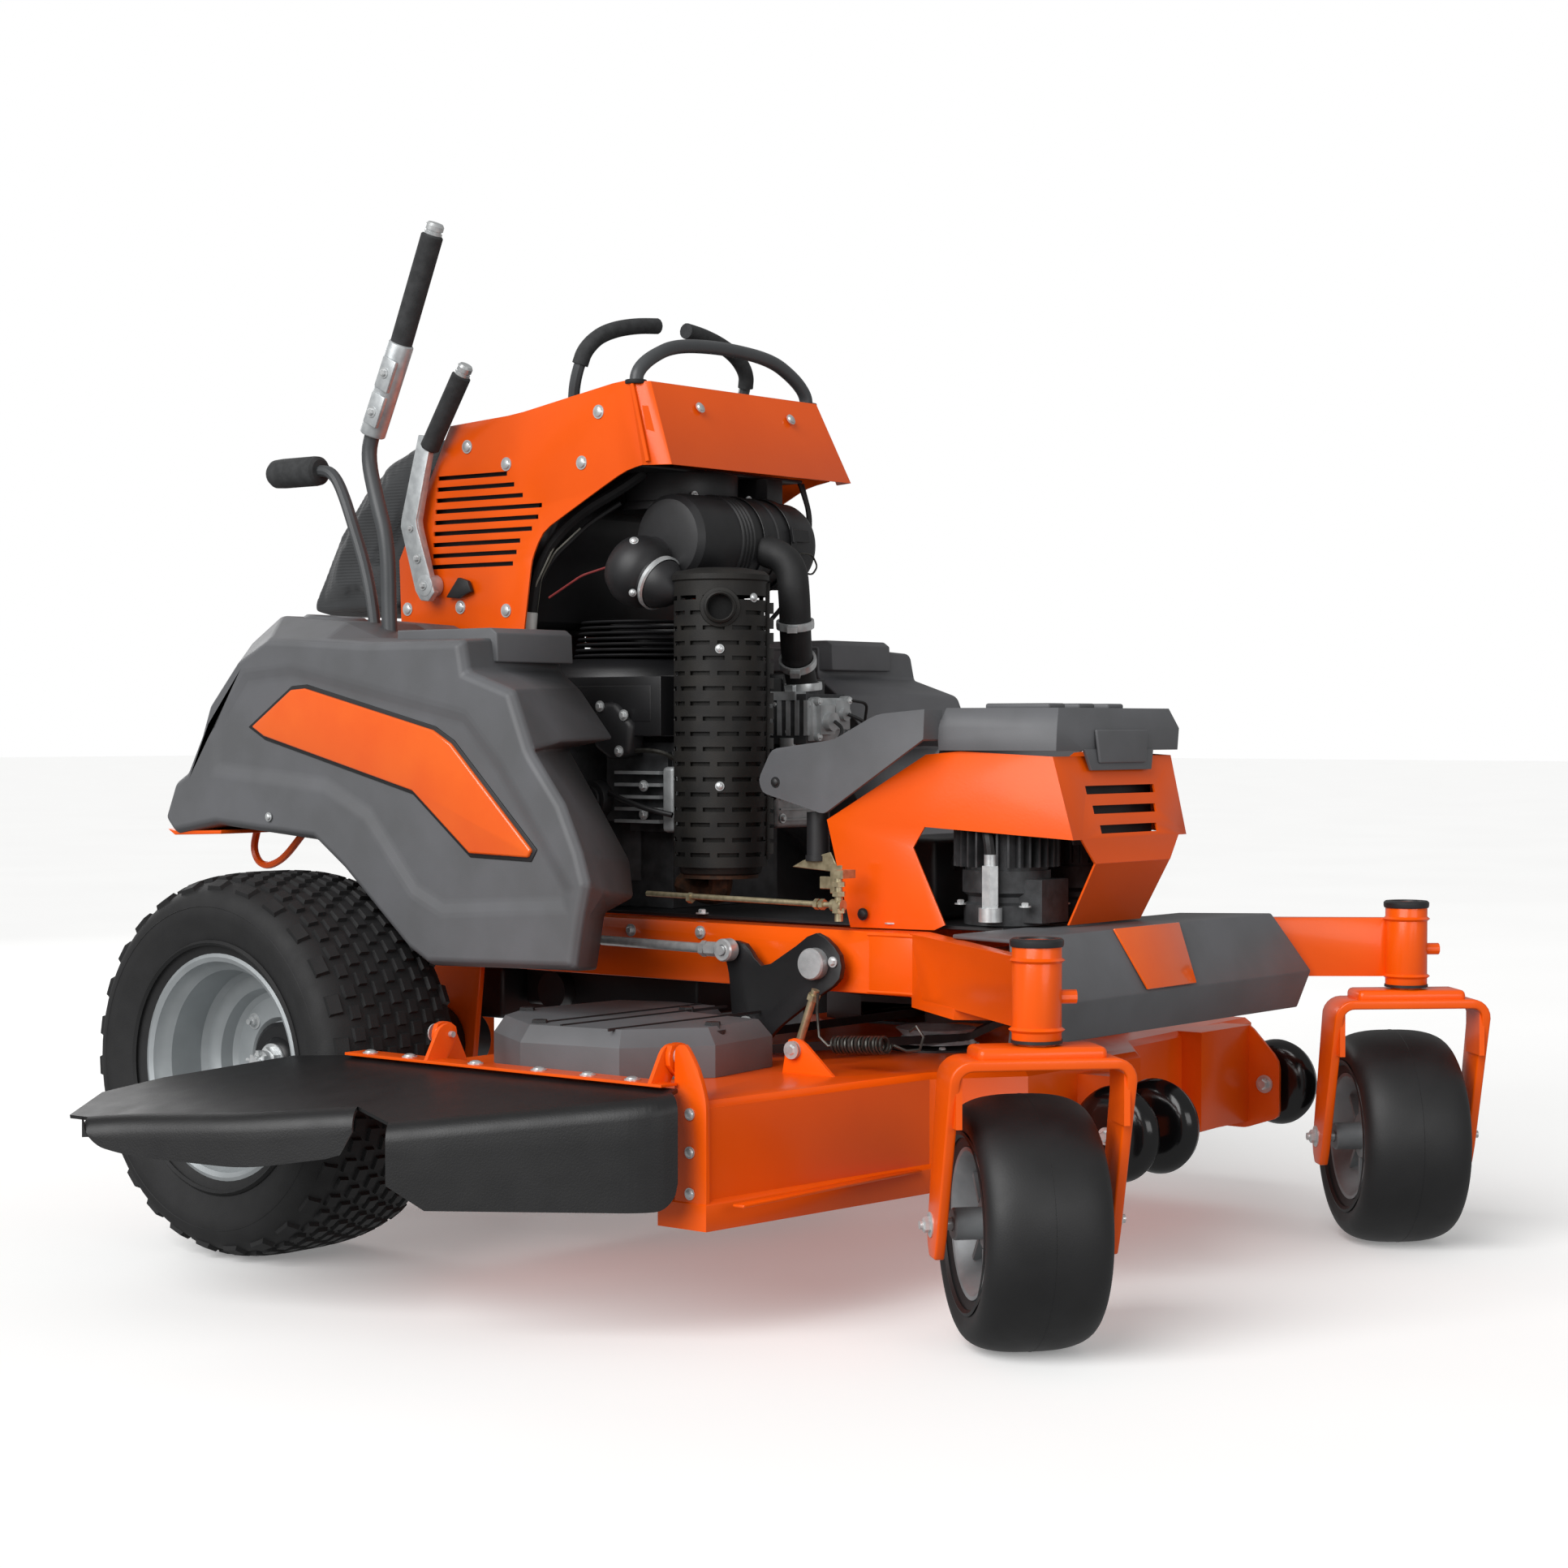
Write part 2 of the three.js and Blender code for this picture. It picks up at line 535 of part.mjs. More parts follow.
// ---- tower ----
const TOWER_OUTLINE = [[112, 959], [-167, 950], [-185, 1069], [-208, 1113], [-325, 1171], [-388, 1201],
  [-435, 1209], [-392, 1339], [-359, 1336], [-168, 1305], [-132, 1301], [-3, 1293], [117, 1079]];
const LOUVRE_FRONT = [-131, -147, -166, -208, -200, -186, -160, -152, -144];

function towerPanel(s) {
  const panel = alongSide(s, outline(TOWER_OUTLINE, [0, 0, 12, 20, 20, 20, 0, 0, 0, 0, 0, 0, 0]),
    TOWER_X - SHEET, TOWER_X);
  const slots = LOUVRE_FRONT.map((front, i) => {
    const z = 1209 - i * 18;
    return sideBox(s, TOWER_X - 10, TOWER_X + 10, front, 26 + i * 2, z - 3.5, z + 3.5);
  });
  const foot = sideBox(s, TOWER_X - 26, TOWER_X - 1, -160, 105, 950, 953);
  return join(panel, foot).subtract(join(...slots));
}

function consoleFront() {
  const section = (y, z, half, back) => [
    v(-half - 3, back, z), v(-half + 16, y, z), v(half - 16, y, z), v(half + 3, back, z),
    v(half, back, z), v(half - 17, y + 3, z), v(-half + 17, y + 3, z), v(-half, back, z),
  ];
  return loft([section(-480, 1204, 240, -437), section(-421, 1337, 222, -393)]);
}

function consoleTop() {
  const plan = [[-390, 1334], [-359, 1331], [-168, 1300], [-132, 1296], [-4, 1288], [-4, 1284], [-132, 1292],
    [-168, 1296], [-359, 1327], [-390, 1330]];
  const slots = SIDES.map(({ s }) => sideBox(s, 180, 215, -292, -208, 1280, 1340));
  return alongX(outline(plan), -TOWER_X + SHEET + GAP, TOWER_X - SHEET - GAP).subtract(join(...slots));
}

function towerBack() {
  const back = slab([v(-221, 2, 1282), v(221, 2, 1282), v(221, 118, 1079), v(-221, 118, 1079)], v(0, -3, -1));
  const low = box(-221, 221, 113, 117, 520, 1081);
  return join(back, low);
}

function operatorPad() {
  const section = outline([[14, 1284], [100, 1276], [170, 1252], [239, 1205], [300, 1135], [372, 1010],
    [372, 992], [126, 992], [126, 1082]], [4, 30, 30, 40, 30, 12, 4, 4, 4]);
  return alongX(section, -214, 214);
}

// ---- controls ----
function referenceBar() {
  const half = [[212, 1341], [208, 1352], [179, 1376], [120, 1400]];
  const points = [...half.map(([x, z]) => v(-x, -396, z)), v(0, -396, 1409),
    ...[...half].reverse().map(([x, z]) => v(x, -396, z))];
  return bentTube(points, 11, 8, 16);
}

function driveLever(s) {
  const hub = rod(v(s * 180, -250, 1262), v(s * 212, -250, 1262), 16, 14);
  const bar = bentTube([v(s * 196, -250, 1262), v(s * 198, -251, 1320), v(s * 205, -262, 1350),
    v(s * 203, -275, 1385), v(s * 175, -280, 1418), v(s * 130, -281, 1437), v(s * 80, -283, 1447),
    v(s * 35, -284, 1452)], 12, 8, 13);
  return join(hub, bar);
}

function liftLever() {
  const post = bentTube([v(-400, -60, 800), v(-400, -44, 943), v(-400, -41, 1093), v(-400, -15, 1163),
    v(-400, 5, 1233), v(-400, -12, 1277)], 12.5, 8, 10);
  const hub = rod(v(-412, -60, 800), v(-372, -60, 800), 26, 18);
  const clamp = rod(v(-400, -8, 1268), v(-400, -71, 1400), 20, 14);
  const grip = rod(v(-400, -68, 1395), v(-400, -142, 1567), 17.5, 14);
  const cap = rod(v(-400, -141, 1565), v(-400, -148, 1580), 15, 14);
  return join(post, hub, clamp, grip, cap);
}

function heightLever() {
  const post = bentTube([v(-400, -15, 830), v(-400, -14, 957), v(-400, 6, 1050), v(-400, 65, 1185),
    v(-400, 90, 1211), v(-400, 118, 1215)], 9.5, 8, 10);
  const hub = rod(v(-412, -15, 830), v(-388, -15, 830), 20, 16);
  const knob = rod(v(-400, 116, 1215), v(-400, 232, 1214), 24, 16);
  return join(post, hub, knob);
}

function parkingBrakeLever() {
  const bladeShape = outline([[14, 1018], [46, 1018], [84, 1138], [40, 1275], [10, 1268], [54, 1138]], 6);
  const blade = alongX(bladeShape, -252, -234);
  const hub = rod(v(-252, 30, 1034), v(-225 - GAP, 30, 1034), 18, 12);
  const grip = rod(v(-243, 24, 1262), v(-243, -57, 1385), 16, 12);
  return join(blade, hub, grip);
}

// ---- fenders ----
// Corners of the fender's outline in the YZ plane, from the rear lip over the top to the wheel arch:
// at the outer flank, at the shoulder and at the inner side.
const FENDER_OUTER_X = 560;
const FENDER_SHOULDER_X = 465;
const FENDER_INNER_X = 320;
const FENDER_CORNERS = [
  { outer: [290, 631], shoulder: [300, 631], inner: [300, 631] },
  { outer: [316, 657], shoulder: [326, 657], inner: [326, 657] },
  { outer: [289, 717], shoulder: [300, 717], inner: [300, 717] },
  { outer: [259, 733], shoulder: [278, 733], inner: [278, 733] },
  { outer: [225, 791], shoulder: [262, 791], inner: [262, 791] },
  { outer: [205, 839], shoulder: [262, 845], inner: [262, 845] },
  { outer: [134, 912], shoulder: [208, 937], inner: [208, 937] },
  { outer: [66, 944], shoulder: [134, 981], inner: [134, 981] },
  { outer: [-60, 938], shoulder: [-20, 968], inner: [-20, 968] },
  { outer: [-160, 932], shoulder: [-90, 941], inner: [-90, 941] },
  { outer: [-361, 932], shoulder: [-350, 937], inner: [-336, 941] },
  { outer: [-371, 886], shoulder: [-358, 888], inner: [-336, 890] },
  { outer: [-463, 857], shoulder: [-430, 859], inner: [-378, 860] },
  { outer: [-498, 775], shoulder: [-475, 782], inner: [-445, 786] },
  { outer: [-505, 764], shoulder: [-440, 770], inner: [-353, 771] },
  { outer: [-562, 695], shoulder: [-502, 694], inner: [-412, 693] },
  { outer: [-596, 627], shoulder: [-548, 615], inner: [-478, 603] },
  { outer: [-612, 580], shoulder: [-560, 566], inner: [-486, 548] },
  { outer: [-600, 535], shoulder: [-530, 528], inner: [-428, 522] },
  { outer: [-585, 458], shoulder: [-515, 448], inner: [-411, 434] },
  { outer: [-290, 450], shoulder: [-290, 446], inner: [-290, 440] },
  { outer: [-247, 472], shoulder: [-247, 472], inner: [-247, 472] },
  { outer: [-105, 588], shoulder: [-105, 588], inner: [-105, 588] },
  { outer: [-42, 630], shoulder: [-42, 630], inner: [-42, 630] },
  { outer: [186, 648], shoulder: [186, 648], inner: [186, 648] },
];

function fender(s) {
  const at = (x, key, offset) => ringAt(s * x, grown(FENDER_CORNERS.map((corner) => corner[key]), offset));
  const outer = loft([at(FENDER_INNER_X, 'inner', 0), at(FENDER_SHOULDER_X, 'shoulder', 0),
    at(FENDER_OUTER_X - 10, 'outer', 0), at(FENDER_OUTER_X, 'outer', -9)]);
  const wall = 5;
  const hollow = loft([at(FENDER_INNER_X - 10, 'inner', -wall), at(FENDER_SHOULDER_X, 'shoulder', -wall),
    at(FENDER_OUTER_X - 12, 'outer', -wall), at(FENDER_OUTER_X - wall, 'outer', -12)]);
  const topSkin = outline([[130, 980], [-20, 968], [-90, 941], [-160, 941], [-160, 936], [-88, 936],
    [-18, 963], [130, 975]]);
  const innerTop = alongSide(s, topSkin, TOWER_X + 7, FENDER_INNER_X + 1);
  const leverSlot = sideBox(s, 372, 428, -170, 60, 900, 1000);
  const shell = outer.subtract(hollow).add(innerTop);
  return s < 0 ? shell.subtract(leverSlot) : shell;
}

// ---- hood ----
function hoodX(y) {
  return y > HOOD_REAR_Y ? HOOD_REAR_X : HOOD_REAR_X + (y - HOOD_REAR_Y) * HOOD_TAPER;
}

function hoodSide(s) {
  const at = ([y, z]) => v(s * hoodX(y), y, z);
  const inward = v(-s * 3, 0.5, 0);
  const leg = [[-819, 512], [-951, 512], [-968, 520], [-918, 630], [-936, 660], [-938, 764],
    [-781, 668]].map(at);
  const band = [[-936, 660], [-1162, 645], [-1131, 762], [-990, 769], [-938, 764]].map(at);
  const lower = slab([leg[0], leg[1], leg[2], leg[3], leg[6]], inward);
  const upper = slab([leg[6], leg[3], leg[4], leg[5]], inward);
  return join(lower, upper, slab(band, inward));
}

function hoodShell() {
  const front = (halfTop, yTop, zTop, halfLow, yLow, zLow) => slab([
    v(-halfTop, yTop, zTop), v(halfTop, yTop, zTop), v(halfLow, yLow, zLow), v(-halfLow, yLow, zLow),
  ], v(0, 3.5, 0));
  const face = front(158, -1131, 762, 152, -1162, 645);
  const chin = front(130, -1162, 645, 100, -1166, 610);
  const strip = front(100, -1166, 611, 95, -1118, 521);
  const slots = [714, 686, 658].map((z, i) => box(-92 + i * 8, 92 - i * 8, -1200, -1100, z - 6, z + 6));
  return join(hoodSide(1), hoodSide(-1), face, chin, strip).subtract(join(...slots));
}

function hoodLid() {
  const cap = (y0, y1, half0, half1, z) => [v(-half0, y0, z), v(half0, y0, z), v(half1, y1, z),
    v(-half1, y1, z)];
  const body = loft([
    cap(-960, -1140, 195, 163, 770), cap(-958, -1142, 196, 164, 802), cap(-966, -1134, 184, 148, 831),
  ]);
  const hollow = loft([
    cap(-964, -1136, 189, 157, 760), cap(-964, -1136, 189, 157, 800), cap(-970, -1128, 178, 145, 824),
  ]);
  const tongueFace = [v(-92, -1142, 772), v(92, -1142, 772), v(80, -1146, 742), v(-80, -1146, 742)];
  const tongue = slab(tongueFace, v(0, 5, 0));
  const wingShape = outline([[-962, 829], [-876, 822], [-798, 785], [-682, 771], [-657, 726], [-664, 706],
    [-780, 676], [-960, 786]], [0, 14, 10, 10, 8, 8, 8, 0]);
  const insideShape = outline([[-956, 824], [-876, 817], [-798, 780], [-686, 766], [-670, 726], [-780, 650],
    [-956, 650]]);
  const wings = [1, -1].map((s) => {
    const whole = alongSide(s, wingShape, 188, 232);
    return whole.subtract(alongSide(s, insideShape, 180, 226));
  });
  return join(body.subtract(hollow), ...wings, tongue);
}

// ---- engine ----
function enginePlate() {
  return join(box(-199, 199, -900, 180, 512, 518), box(-170, 170, -1056, -899, 512, 518));
}

function engineBlock() {
  const sump = box(-130, 130, -400, -70, 518 + GAP, 640);
  const crankcase = rod(v(0, -235, 560), v(0, -235, 788), 165, 18);
  const cylinders = SIDES.map(({ s }) => {
    const fins = [0, 1, 2].map((i) => sideBox(s, 88 + i * 32, 100 + i * 32, -438, -340, 640, 780));
    return join(sideBox(s, 60, 175, -428, -300, 655, 765), ...fins);
  });
  const intake = join(box(30, 130, -540, -452, 776, 856), box(60, 120, -470, -400, 740, 780),
    rod(v(70, -500, 850), v(70, -500, 864), 26, 12));
  return join(sump, crankcase, ...cylinders, intake);
}

function blowerHousing() {
  const round = turned([[0, 800], [196, 800], [200, 850], [186, 905], [60, 930], [56, 955], [0, 955]], 'z',
    v(0, -235, 0), 24);
  const shrouds = SIDES.map(({ s }) => sideBox(s, 70, 205, -440, -240, 790, 880));
  return join(round, ...shrouds);
}

function muffler() {
  const [x, y] = [-154, -518];
  const can = turned([[0, 575], [60, 575], [66, 585], [66, 994], [0, 994]], 'z', v(x, y, 0), 24);
  const outlet = rod(v(x, y, 985), v(x - 64, y - 52, 985), 24, 18);
  const pipe = rod(v(x, y, 545), v(x, y, 580), 22, 16);
  const elbow = rod(v(x, y, 562), v(x + 20, y + 90, 562), 18, 12);
  return join(can, outlet, pipe, elbow);
}

function mufflerShield() {
  const [x, y] = [-154, -518];
  const profile = [[72, 590], [72, 1002], [60, 1016], [0, 1020], [0, 1014], [58, 1011], [69, 1000],
    [69, 590]];
  const shell = turned([...profile, profile[0]], 'z', v(x, y, 0), 24);
  const outletHole = rod(v(x - 46, y - 38, 985), v(x - 90, y - 73, 985), 27, 14);
  return shell.subtract(outletHole);
}

function airCleaner() {
  const canister = turned([[0, -90], [62, -90], [72, -78], [72, 120], [76, 122], [76, 134], [72, 136],
    [70, 196], [58, 206], [0, 206]], 'x', v(-78, -420, 1096), 20);
  const bracket = box(-70, 40, -402, -396, 968, 1040);
  return join(canister, bracket);
}

function intakeElbow() {
  return bentTube([v(20, -502, 1078), v(22, -530, 1058), v(24, -540, 1000), v(44, -528, 930),
    v(74, -506, 896)], 27, 8, 8);
}

function hydroPump(s) {
  const centre = v(s * 95, -1010, 0);
  const at = (z) => centre.clone().setZ(z);
  const body = rod(at(518 + GAP), at(600), 62, 10);
  const fins = [0, 1, 2].map((i) => rod(at(606 + i * 22), at(616 + i * 22), 78, 12));
  const core = rod(at(598), at(668), 66, 10);
  return join(body, core, ...fins);
}

// Tank that fills the tower between its side panels.
function fuelTank() {
  const section = [[106, 962], [-150, 962], [-180, 1069], [-203, 1110], [-215, 1150], [-130, 1245],
    [-110, 1270], [-12, 1268], [104, 1076]];
  return alongX(outline(section, 12, 2), -TOWER_X + 30, TOWER_X - 30);
}

// ---- lift linkage ----
function bellCrank(s) {
  const plate = outline([[-850, 478], [-804, 512], [-768, 486], [-700, 446], [-672, 488], [-624, 488],
    [-640, 440], [-648, 352], [-690, 322], [-735, 366], [-800, 410], [-850, 440]],
  [26, 30, 16, 24, 18, 12, 10, 24, 20, 14, 26, 26]);
  const web = alongSide(s, plate, 270, 280);
  const pivot = rod(v(s * 269, -804, 462), v(s * 294, -804, 462), 22, 14);
  const linkBolt = rod(v(s * 262, -676, 362), v(s * 292, -676, 362), 11, 8);
  return join(web, pivot, linkBolt);
}

function liftRod(s) {
  const bar = rod(v(s * 294, -650, 475), v(s * 294, -400, 478), 7.5, 12);
  const eye = rod(v(s * 281, -646, 475), v(s * 304, -646, 475), 14, 12);
  return join(bar, eye);
}

function pumpControlRod(s) {
  const bar = rod(v(s * 270, -838, 547), v(s * 270, -470, 551), 5, 10);
  const clevis = rod(v(s * 270, -842, 528), v(s * 270, -842, 592), 8, 10);
  const arm = box(s * 246, s * 276, -850, -834, 586, 598);
  return join(bar, clevis, arm);
}

function assistSpring(s) {
  const x = s * 318;
  const coil = rod(v(x, -866, 352), v(x, -962, 358), 14, 14);
  const hook = bentTube([v(x, -955, 358), v(x, -985, 360), v(x, -1010, 366), v(x, -1020, 380),
    v(x, -1012, 394)], 3, 6, 7);
  const tail = bentTube([v(x, -872, 352), v(x, -850, 350), v(x, -838, 362), v(x, -836, 400), v(x, -838, 425)],
    3, 6, 7);
  return join(coil, hook, tail);
}

// ---- operator platform ----
function platform() {
  const tread = box(-215, 215, 378, 600, 186, 192);
  const sideRims = SIDES.map(({ s }) => sideBox(s, 209, 215, 378, 600, 160, 192));
  const rim = [box(-215, 215, 594, 600, 160, 192), ...sideRims];
  const hinge = rod(v(-169.5, 352, 232), v(169.5, 352, 232), 12, 12);
  const armShape = outline([[340, 240], [364, 246], [420, 190], [420, 170], [378, 170]], 6);
  const arms = SIDES.map(({ s }) => alongSide(s, armShape, 130, 142));
  return join(tread, ...rim, hinge, ...arms);
}

// ---- assembly ----
for (const { name, s } of SIDES) {
  add(`frame_rail_${name}`, frameRail(s), ORANGE, 0.4);
  add(`rear_tyre_${name}`, rearTyre(s), RUBBER, 0.9);
  add(`rear_rim_${name}`, join(rearRim(s), wheelHub(s)), STEEL, 0.45, 0.6);
  add(`wheel_motor_${name}`, wheelMotor(s), BLACK, 0.5, 0.4);
  add(`caster_fork_${name}`, place(casterYoke(), casterTurn(s)), ORANGE, 0.4);
  add(`caster_tyre_${name}`, place(casterTyre(), casterTurn(s)), RUBBER, 0.8);
  add(`caster_rim_${name}`, place(casterRim(), casterTurn(s)), STEEL, 0.5, 0.5);
  add(`fender_${name}`, fender(s), GREY, 0.6);
  add(`tower_panel_${name}`, towerPanel(s), ORANGE, 0.4);
  add(`belt_cover_${name}`, beltCover(s), GREY, 0.6);
  add(`drive_lever_${name}`, driveLever(s), BLACK, 0.7);
  add(`hydro_pump_${name}`, hydroPump(s), BLACK, 0.5, 0.5);
  add(`bell_crank_${name}`, bellCrank(s), BLACK, 0.4);
}
add('rear_frame', rearFrame(), ORANGE, 0.4);
add('front_bumper', frontBumper(), GREY, 0.6);
add('front_axle', frontAxle(), ORANGE, 0.4);
add('hood_shell', hoodShell(), ORANGE, 0.4);
add('hood_lid', hoodLid(), GREY, 0.6);
add('engine_plate', enginePlate(), BLACK, 0.5);
add('engine_block', engineBlock(), STEEL, 0.5, 0.6);
add('blower_housing', blowerHousing(), BLACK, 0.5);
add('muffler', muffler(), BLACK, 0.5, 0.5);
add('muffler_shield', mufflerShield(), BLACK, 0.4, 0.6);
add('air_cleaner', airCleaner(), BLACK, 0.5);
add('intake_elbow', intakeElbow(), RUBBER, 0.7);
add('fuel_tank', fuelTank(), BLACK, 0.6);
add('console_front', consoleFront(), ORANGE, 0.4);
add('console_top', consoleTop(), BLACK, 0.6);
add('tower_back', towerBack(), BLACK, 0.6);
add('operator_pad', operatorPad(), BLACK, 0.8);
add('reference_bar', referenceBar(), BLACK, 0.6);
add('lift_lever', liftLever(), BLACK, 0.6);
add('height_lever', heightLever(), BLACK, 0.6);
add('parking_brake_lever', parkingBrakeLever(), STEEL, 0.4, 0.7);
add('deck_shell', deckShell(), ORANGE, 0.4);
BLADE_SPOTS.forEach((spot, i) => add(`blade_spindle_${spot.name}`, bladeSpindle(spot, i), STEEL, 0.4, 0.8));
add('deflector_hinge', deflectorHinge(), ORANGE, 0.4);
add('discharge_deflector', dischargeDeflector(), BLACK, 0.8);
add('roller_centre_right', roller(-54, ROLLER_Y, 46), BLACK, 0.3);
add('roller_centre_left', roller(54, ROLLER_Y, 46), BLACK, 0.3);
add('roller_corner_left', roller(CORNER_ARM_X + 43, CORNER_ROLLER_Y, 46), BLACK, 0.3);
add('lift_rod', liftRod(-1), STEEL, 0.3, 0.9);
add('pump_control_rod', pumpControlRod(-1), STEEL, 0.3, 0.9);
add('assist_spring', assistSpring(-1), STEEL, 0.3, 0.9);
add('operator_platform', platform(), BLACK, 0.7);

export default mower;
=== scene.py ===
import json
import math

import bmesh
import bpy
from mathutils import Matrix, Vector


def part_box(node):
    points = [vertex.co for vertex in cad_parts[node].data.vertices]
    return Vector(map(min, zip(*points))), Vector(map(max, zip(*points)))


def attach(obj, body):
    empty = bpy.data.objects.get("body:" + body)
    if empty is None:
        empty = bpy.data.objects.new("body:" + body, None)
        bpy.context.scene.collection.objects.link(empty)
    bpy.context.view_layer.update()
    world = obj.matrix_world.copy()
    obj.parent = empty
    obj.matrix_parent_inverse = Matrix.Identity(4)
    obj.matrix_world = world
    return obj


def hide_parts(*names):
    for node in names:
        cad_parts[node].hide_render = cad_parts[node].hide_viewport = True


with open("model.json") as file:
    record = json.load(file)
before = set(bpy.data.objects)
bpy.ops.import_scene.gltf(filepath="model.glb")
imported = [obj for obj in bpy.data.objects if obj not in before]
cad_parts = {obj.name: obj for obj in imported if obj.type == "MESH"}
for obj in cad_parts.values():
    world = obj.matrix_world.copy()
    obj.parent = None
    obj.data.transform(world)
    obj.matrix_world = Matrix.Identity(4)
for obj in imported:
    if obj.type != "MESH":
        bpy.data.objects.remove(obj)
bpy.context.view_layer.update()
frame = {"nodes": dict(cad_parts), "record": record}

MM = 0.001
SIDES = {"right": -1, "left": 1}
AXLE_X = (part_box("rear_tyre_right")[0].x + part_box("rear_tyre_left")[1].x) / 2
AXLE_Y = (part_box("rear_tyre_right")[0].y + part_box("rear_tyre_right")[1].y) / 2
TO_ROW = Matrix.Translation((AXLE_X, AXLE_Y, 0)) @ Matrix.Scale(MM, 4)
AXES = {"x": Vector((1, 0, 0)), "y": Vector((0, 1, 0)), "z": Vector((0, 0, 1))}
SHARP = math.radians(32)          # edges that turn more than this stay crisp
FILL_STRENGTH = 0.34              # light from the white surroundings


def linked(name, data):
    """New object in the scene, at its origin."""
    made = bpy.data.objects.new(name, data)
    bpy.context.scene.collection.objects.link(made)
    return made


# ---- materials ----
def linear(colour):
    """sRGB hex to linear RGBA."""
    parts = [int(colour[i:i + 2], 16) / 255 for i in (1, 3, 5)]
    return tuple(p / 12.92 if p <= 0.04045 else ((p + 0.055) / 1.055) ** 2.4 for p in parts) + (1.0,)


def add_node(tree, kind, inputs=None, **settings):
    """One shader node with its settings; an input is a value or another node's output."""
    node = tree.nodes.new(kind)
    for name, value in settings.items():
        setattr(node, name, value)
    for name, value in (inputs or {}).items():
        if isinstance(value, bpy.types.NodeSocket):
            tree.links.new(value, node.inputs[name])
        else:
            node.inputs[name].default_value = value
    return node


def start_material(name, roughness, metallic=0.0, **sockets):
    material = bpy.data.materials.new(name)
    material.use_nodes = True
    tree = material.node_tree
    shader = tree.nodes["Principled BSDF"]
    shader.inputs["Roughness"].default_value = roughness
    shader.inputs["Metallic"].default_value = metallic
    for socket, value in sockets.items():
        shader.inputs[socket.replace("_", " ")].default_value = value
    place = add_node(tree, "ShaderNodeTexCoord").outputs["Object"]
    return material, tree, shader, place


def mottled(tree, place, first, second, size_mm, low=0.35, high=0.65):
    """Two near colours mixed in soft patches about size_mm across."""
    noise = add_node(tree, "ShaderNodeTexNoise", {"Vector": place, "Scale": 1 / (size_mm * MM),
        "Detail": 4.0})
    ramp = add_node(tree, "ShaderNodeValToRGB", {"Fac": noise.outputs["Fac"]})
    ramp.color_ramp.elements[0].position = low
    ramp.color_ramp.elements[0].color = linear(first)
    ramp.color_ramp.elements[1].position = high
    ramp.color_ramp.elements[1].color = linear(second)
    return ramp.outputs["Color"]


def rough_patches(tree, place, low, high, size_mm):
    noise = add_node(tree, "ShaderNodeTexNoise", {"Vector": place, "Scale": 1 / (size_mm * MM),
        "Detail": 3.0})
    spread = add_node(tree, "ShaderNodeMapRange", {"Value": noise.outputs["Fac"], "To Min": low,
        "To Max": high})
    return spread.outputs["Result"]


def grain_bump(tree, shader, height, depth_mm, strength=1.0):
    bump = add_node(tree, "ShaderNodeBump", {"Height": height, "Distance": depth_mm * MM,
        "Strength": strength})
    tree.links.new(bump.outputs["Normal"], shader.inputs["Normal"])


def noise_height(tree, place, size_mm, detail=2.0):
    return add_node(tree, "ShaderNodeTexNoise", {"Vector": place, "Scale": 1 / (size_mm * MM),
        "Detail": detail}).outputs["Fac"]


def grained(name, first, second, patch_mm, roughness, grain_mm, depth_mm, metallic=0.0, **sockets):
    """A finish with two near colours in patches, uneven gloss and a fine grain in its surface."""
    material, tree, shader, place = start_material(name, roughness[0], metallic, **sockets)
    tree.links.new(mottled(tree, place, first, second, patch_mm), shader.inputs["Base Color"])
    tree.links.new(rough_patches(tree, place, *roughness, patch_mm * 0.6), shader.inputs["Roughness"])
    grain_bump(tree, shader, noise_height(tree, place, grain_mm), depth_mm)
    return material


# Polyester powder coat on steel, sprayed and baked: glossy, with a faint orange-peel surface.
POWDER = grained("powder_coat_orange", "#F45C06", "#EE5704", 180, (0.26, 0.36), 3.5, 0.12, Coat_Weight=0.15,
    Coat_Roughness=0.12, Specular_IOR_Level=0.3)
# The same coat on the fender badge: smoother, because it lies on moulded plastic.
BADGE = grained("gloss_painted_abs_orange", "#F2640F", "#EC5A08", 120, (0.18, 0.26), 6, 0.05,
    Coat_Weight=0.6, Coat_Roughness=0.08)
# Injection-moulded polyethylene, grey, with a spark-eroded grain; drawn at 1.6 mm so that it shows.
MOULDING = grained("moulded_polyethylene_grey", "#616265", "#5A5B5D", 90, (0.48, 0.6), 1.6, 0.12)
# Black glass-filled nylon mouldings: air cleaner, caps, tank.
NYLON = grained("moulded_nylon_black", "#232325", "#1A1A1B", 60, (0.42, 0.55), 1.4, 0.1)
# Air-dried satin black enamel on steel parts.
ENAMEL = grained("satin_enamel_black", "#1D1D1F", "#161617", 110, (0.34, 0.46), 2.5, 0.08)
# High-temperature paint on the pressed exhaust parts: dull, slightly brown where it runs hot.
STOVE = grained("heat_paint_exhaust", "#252320", "#1A1918", 45, (0.5, 0.68), 1.8, 0.14, 0.3)
# Vulcanised tyre rubber: near black, dull, lightly dusted in the hollows.
TYRE = grained("vulcanised_rubber_tyre", "#1A1A1B", "#131314", 40, (0.62, 0.78), 1.8, 0.22)
# Smooth caster tyre of cast polyurethane rubber.
SMOOTH_TYRE = grained("smooth_caster_rubber", "#19191A", "#131314", 55, (0.46, 0.6), 2.2, 0.12)
# Reinforced rubber sheet of the deflector, calendered, with a soft sheen.
SHEET_RUBBER = grained("calendered_rubber_sheet", "#171718", "#111112", 70, (0.38, 0.55), 2.4, 0.2)
# Hose rubber, matt.
HOSE = grained("hose_rubber", "#1E1E1F", "#171718", 30, (0.55, 0.7), 1.6, 0.15)
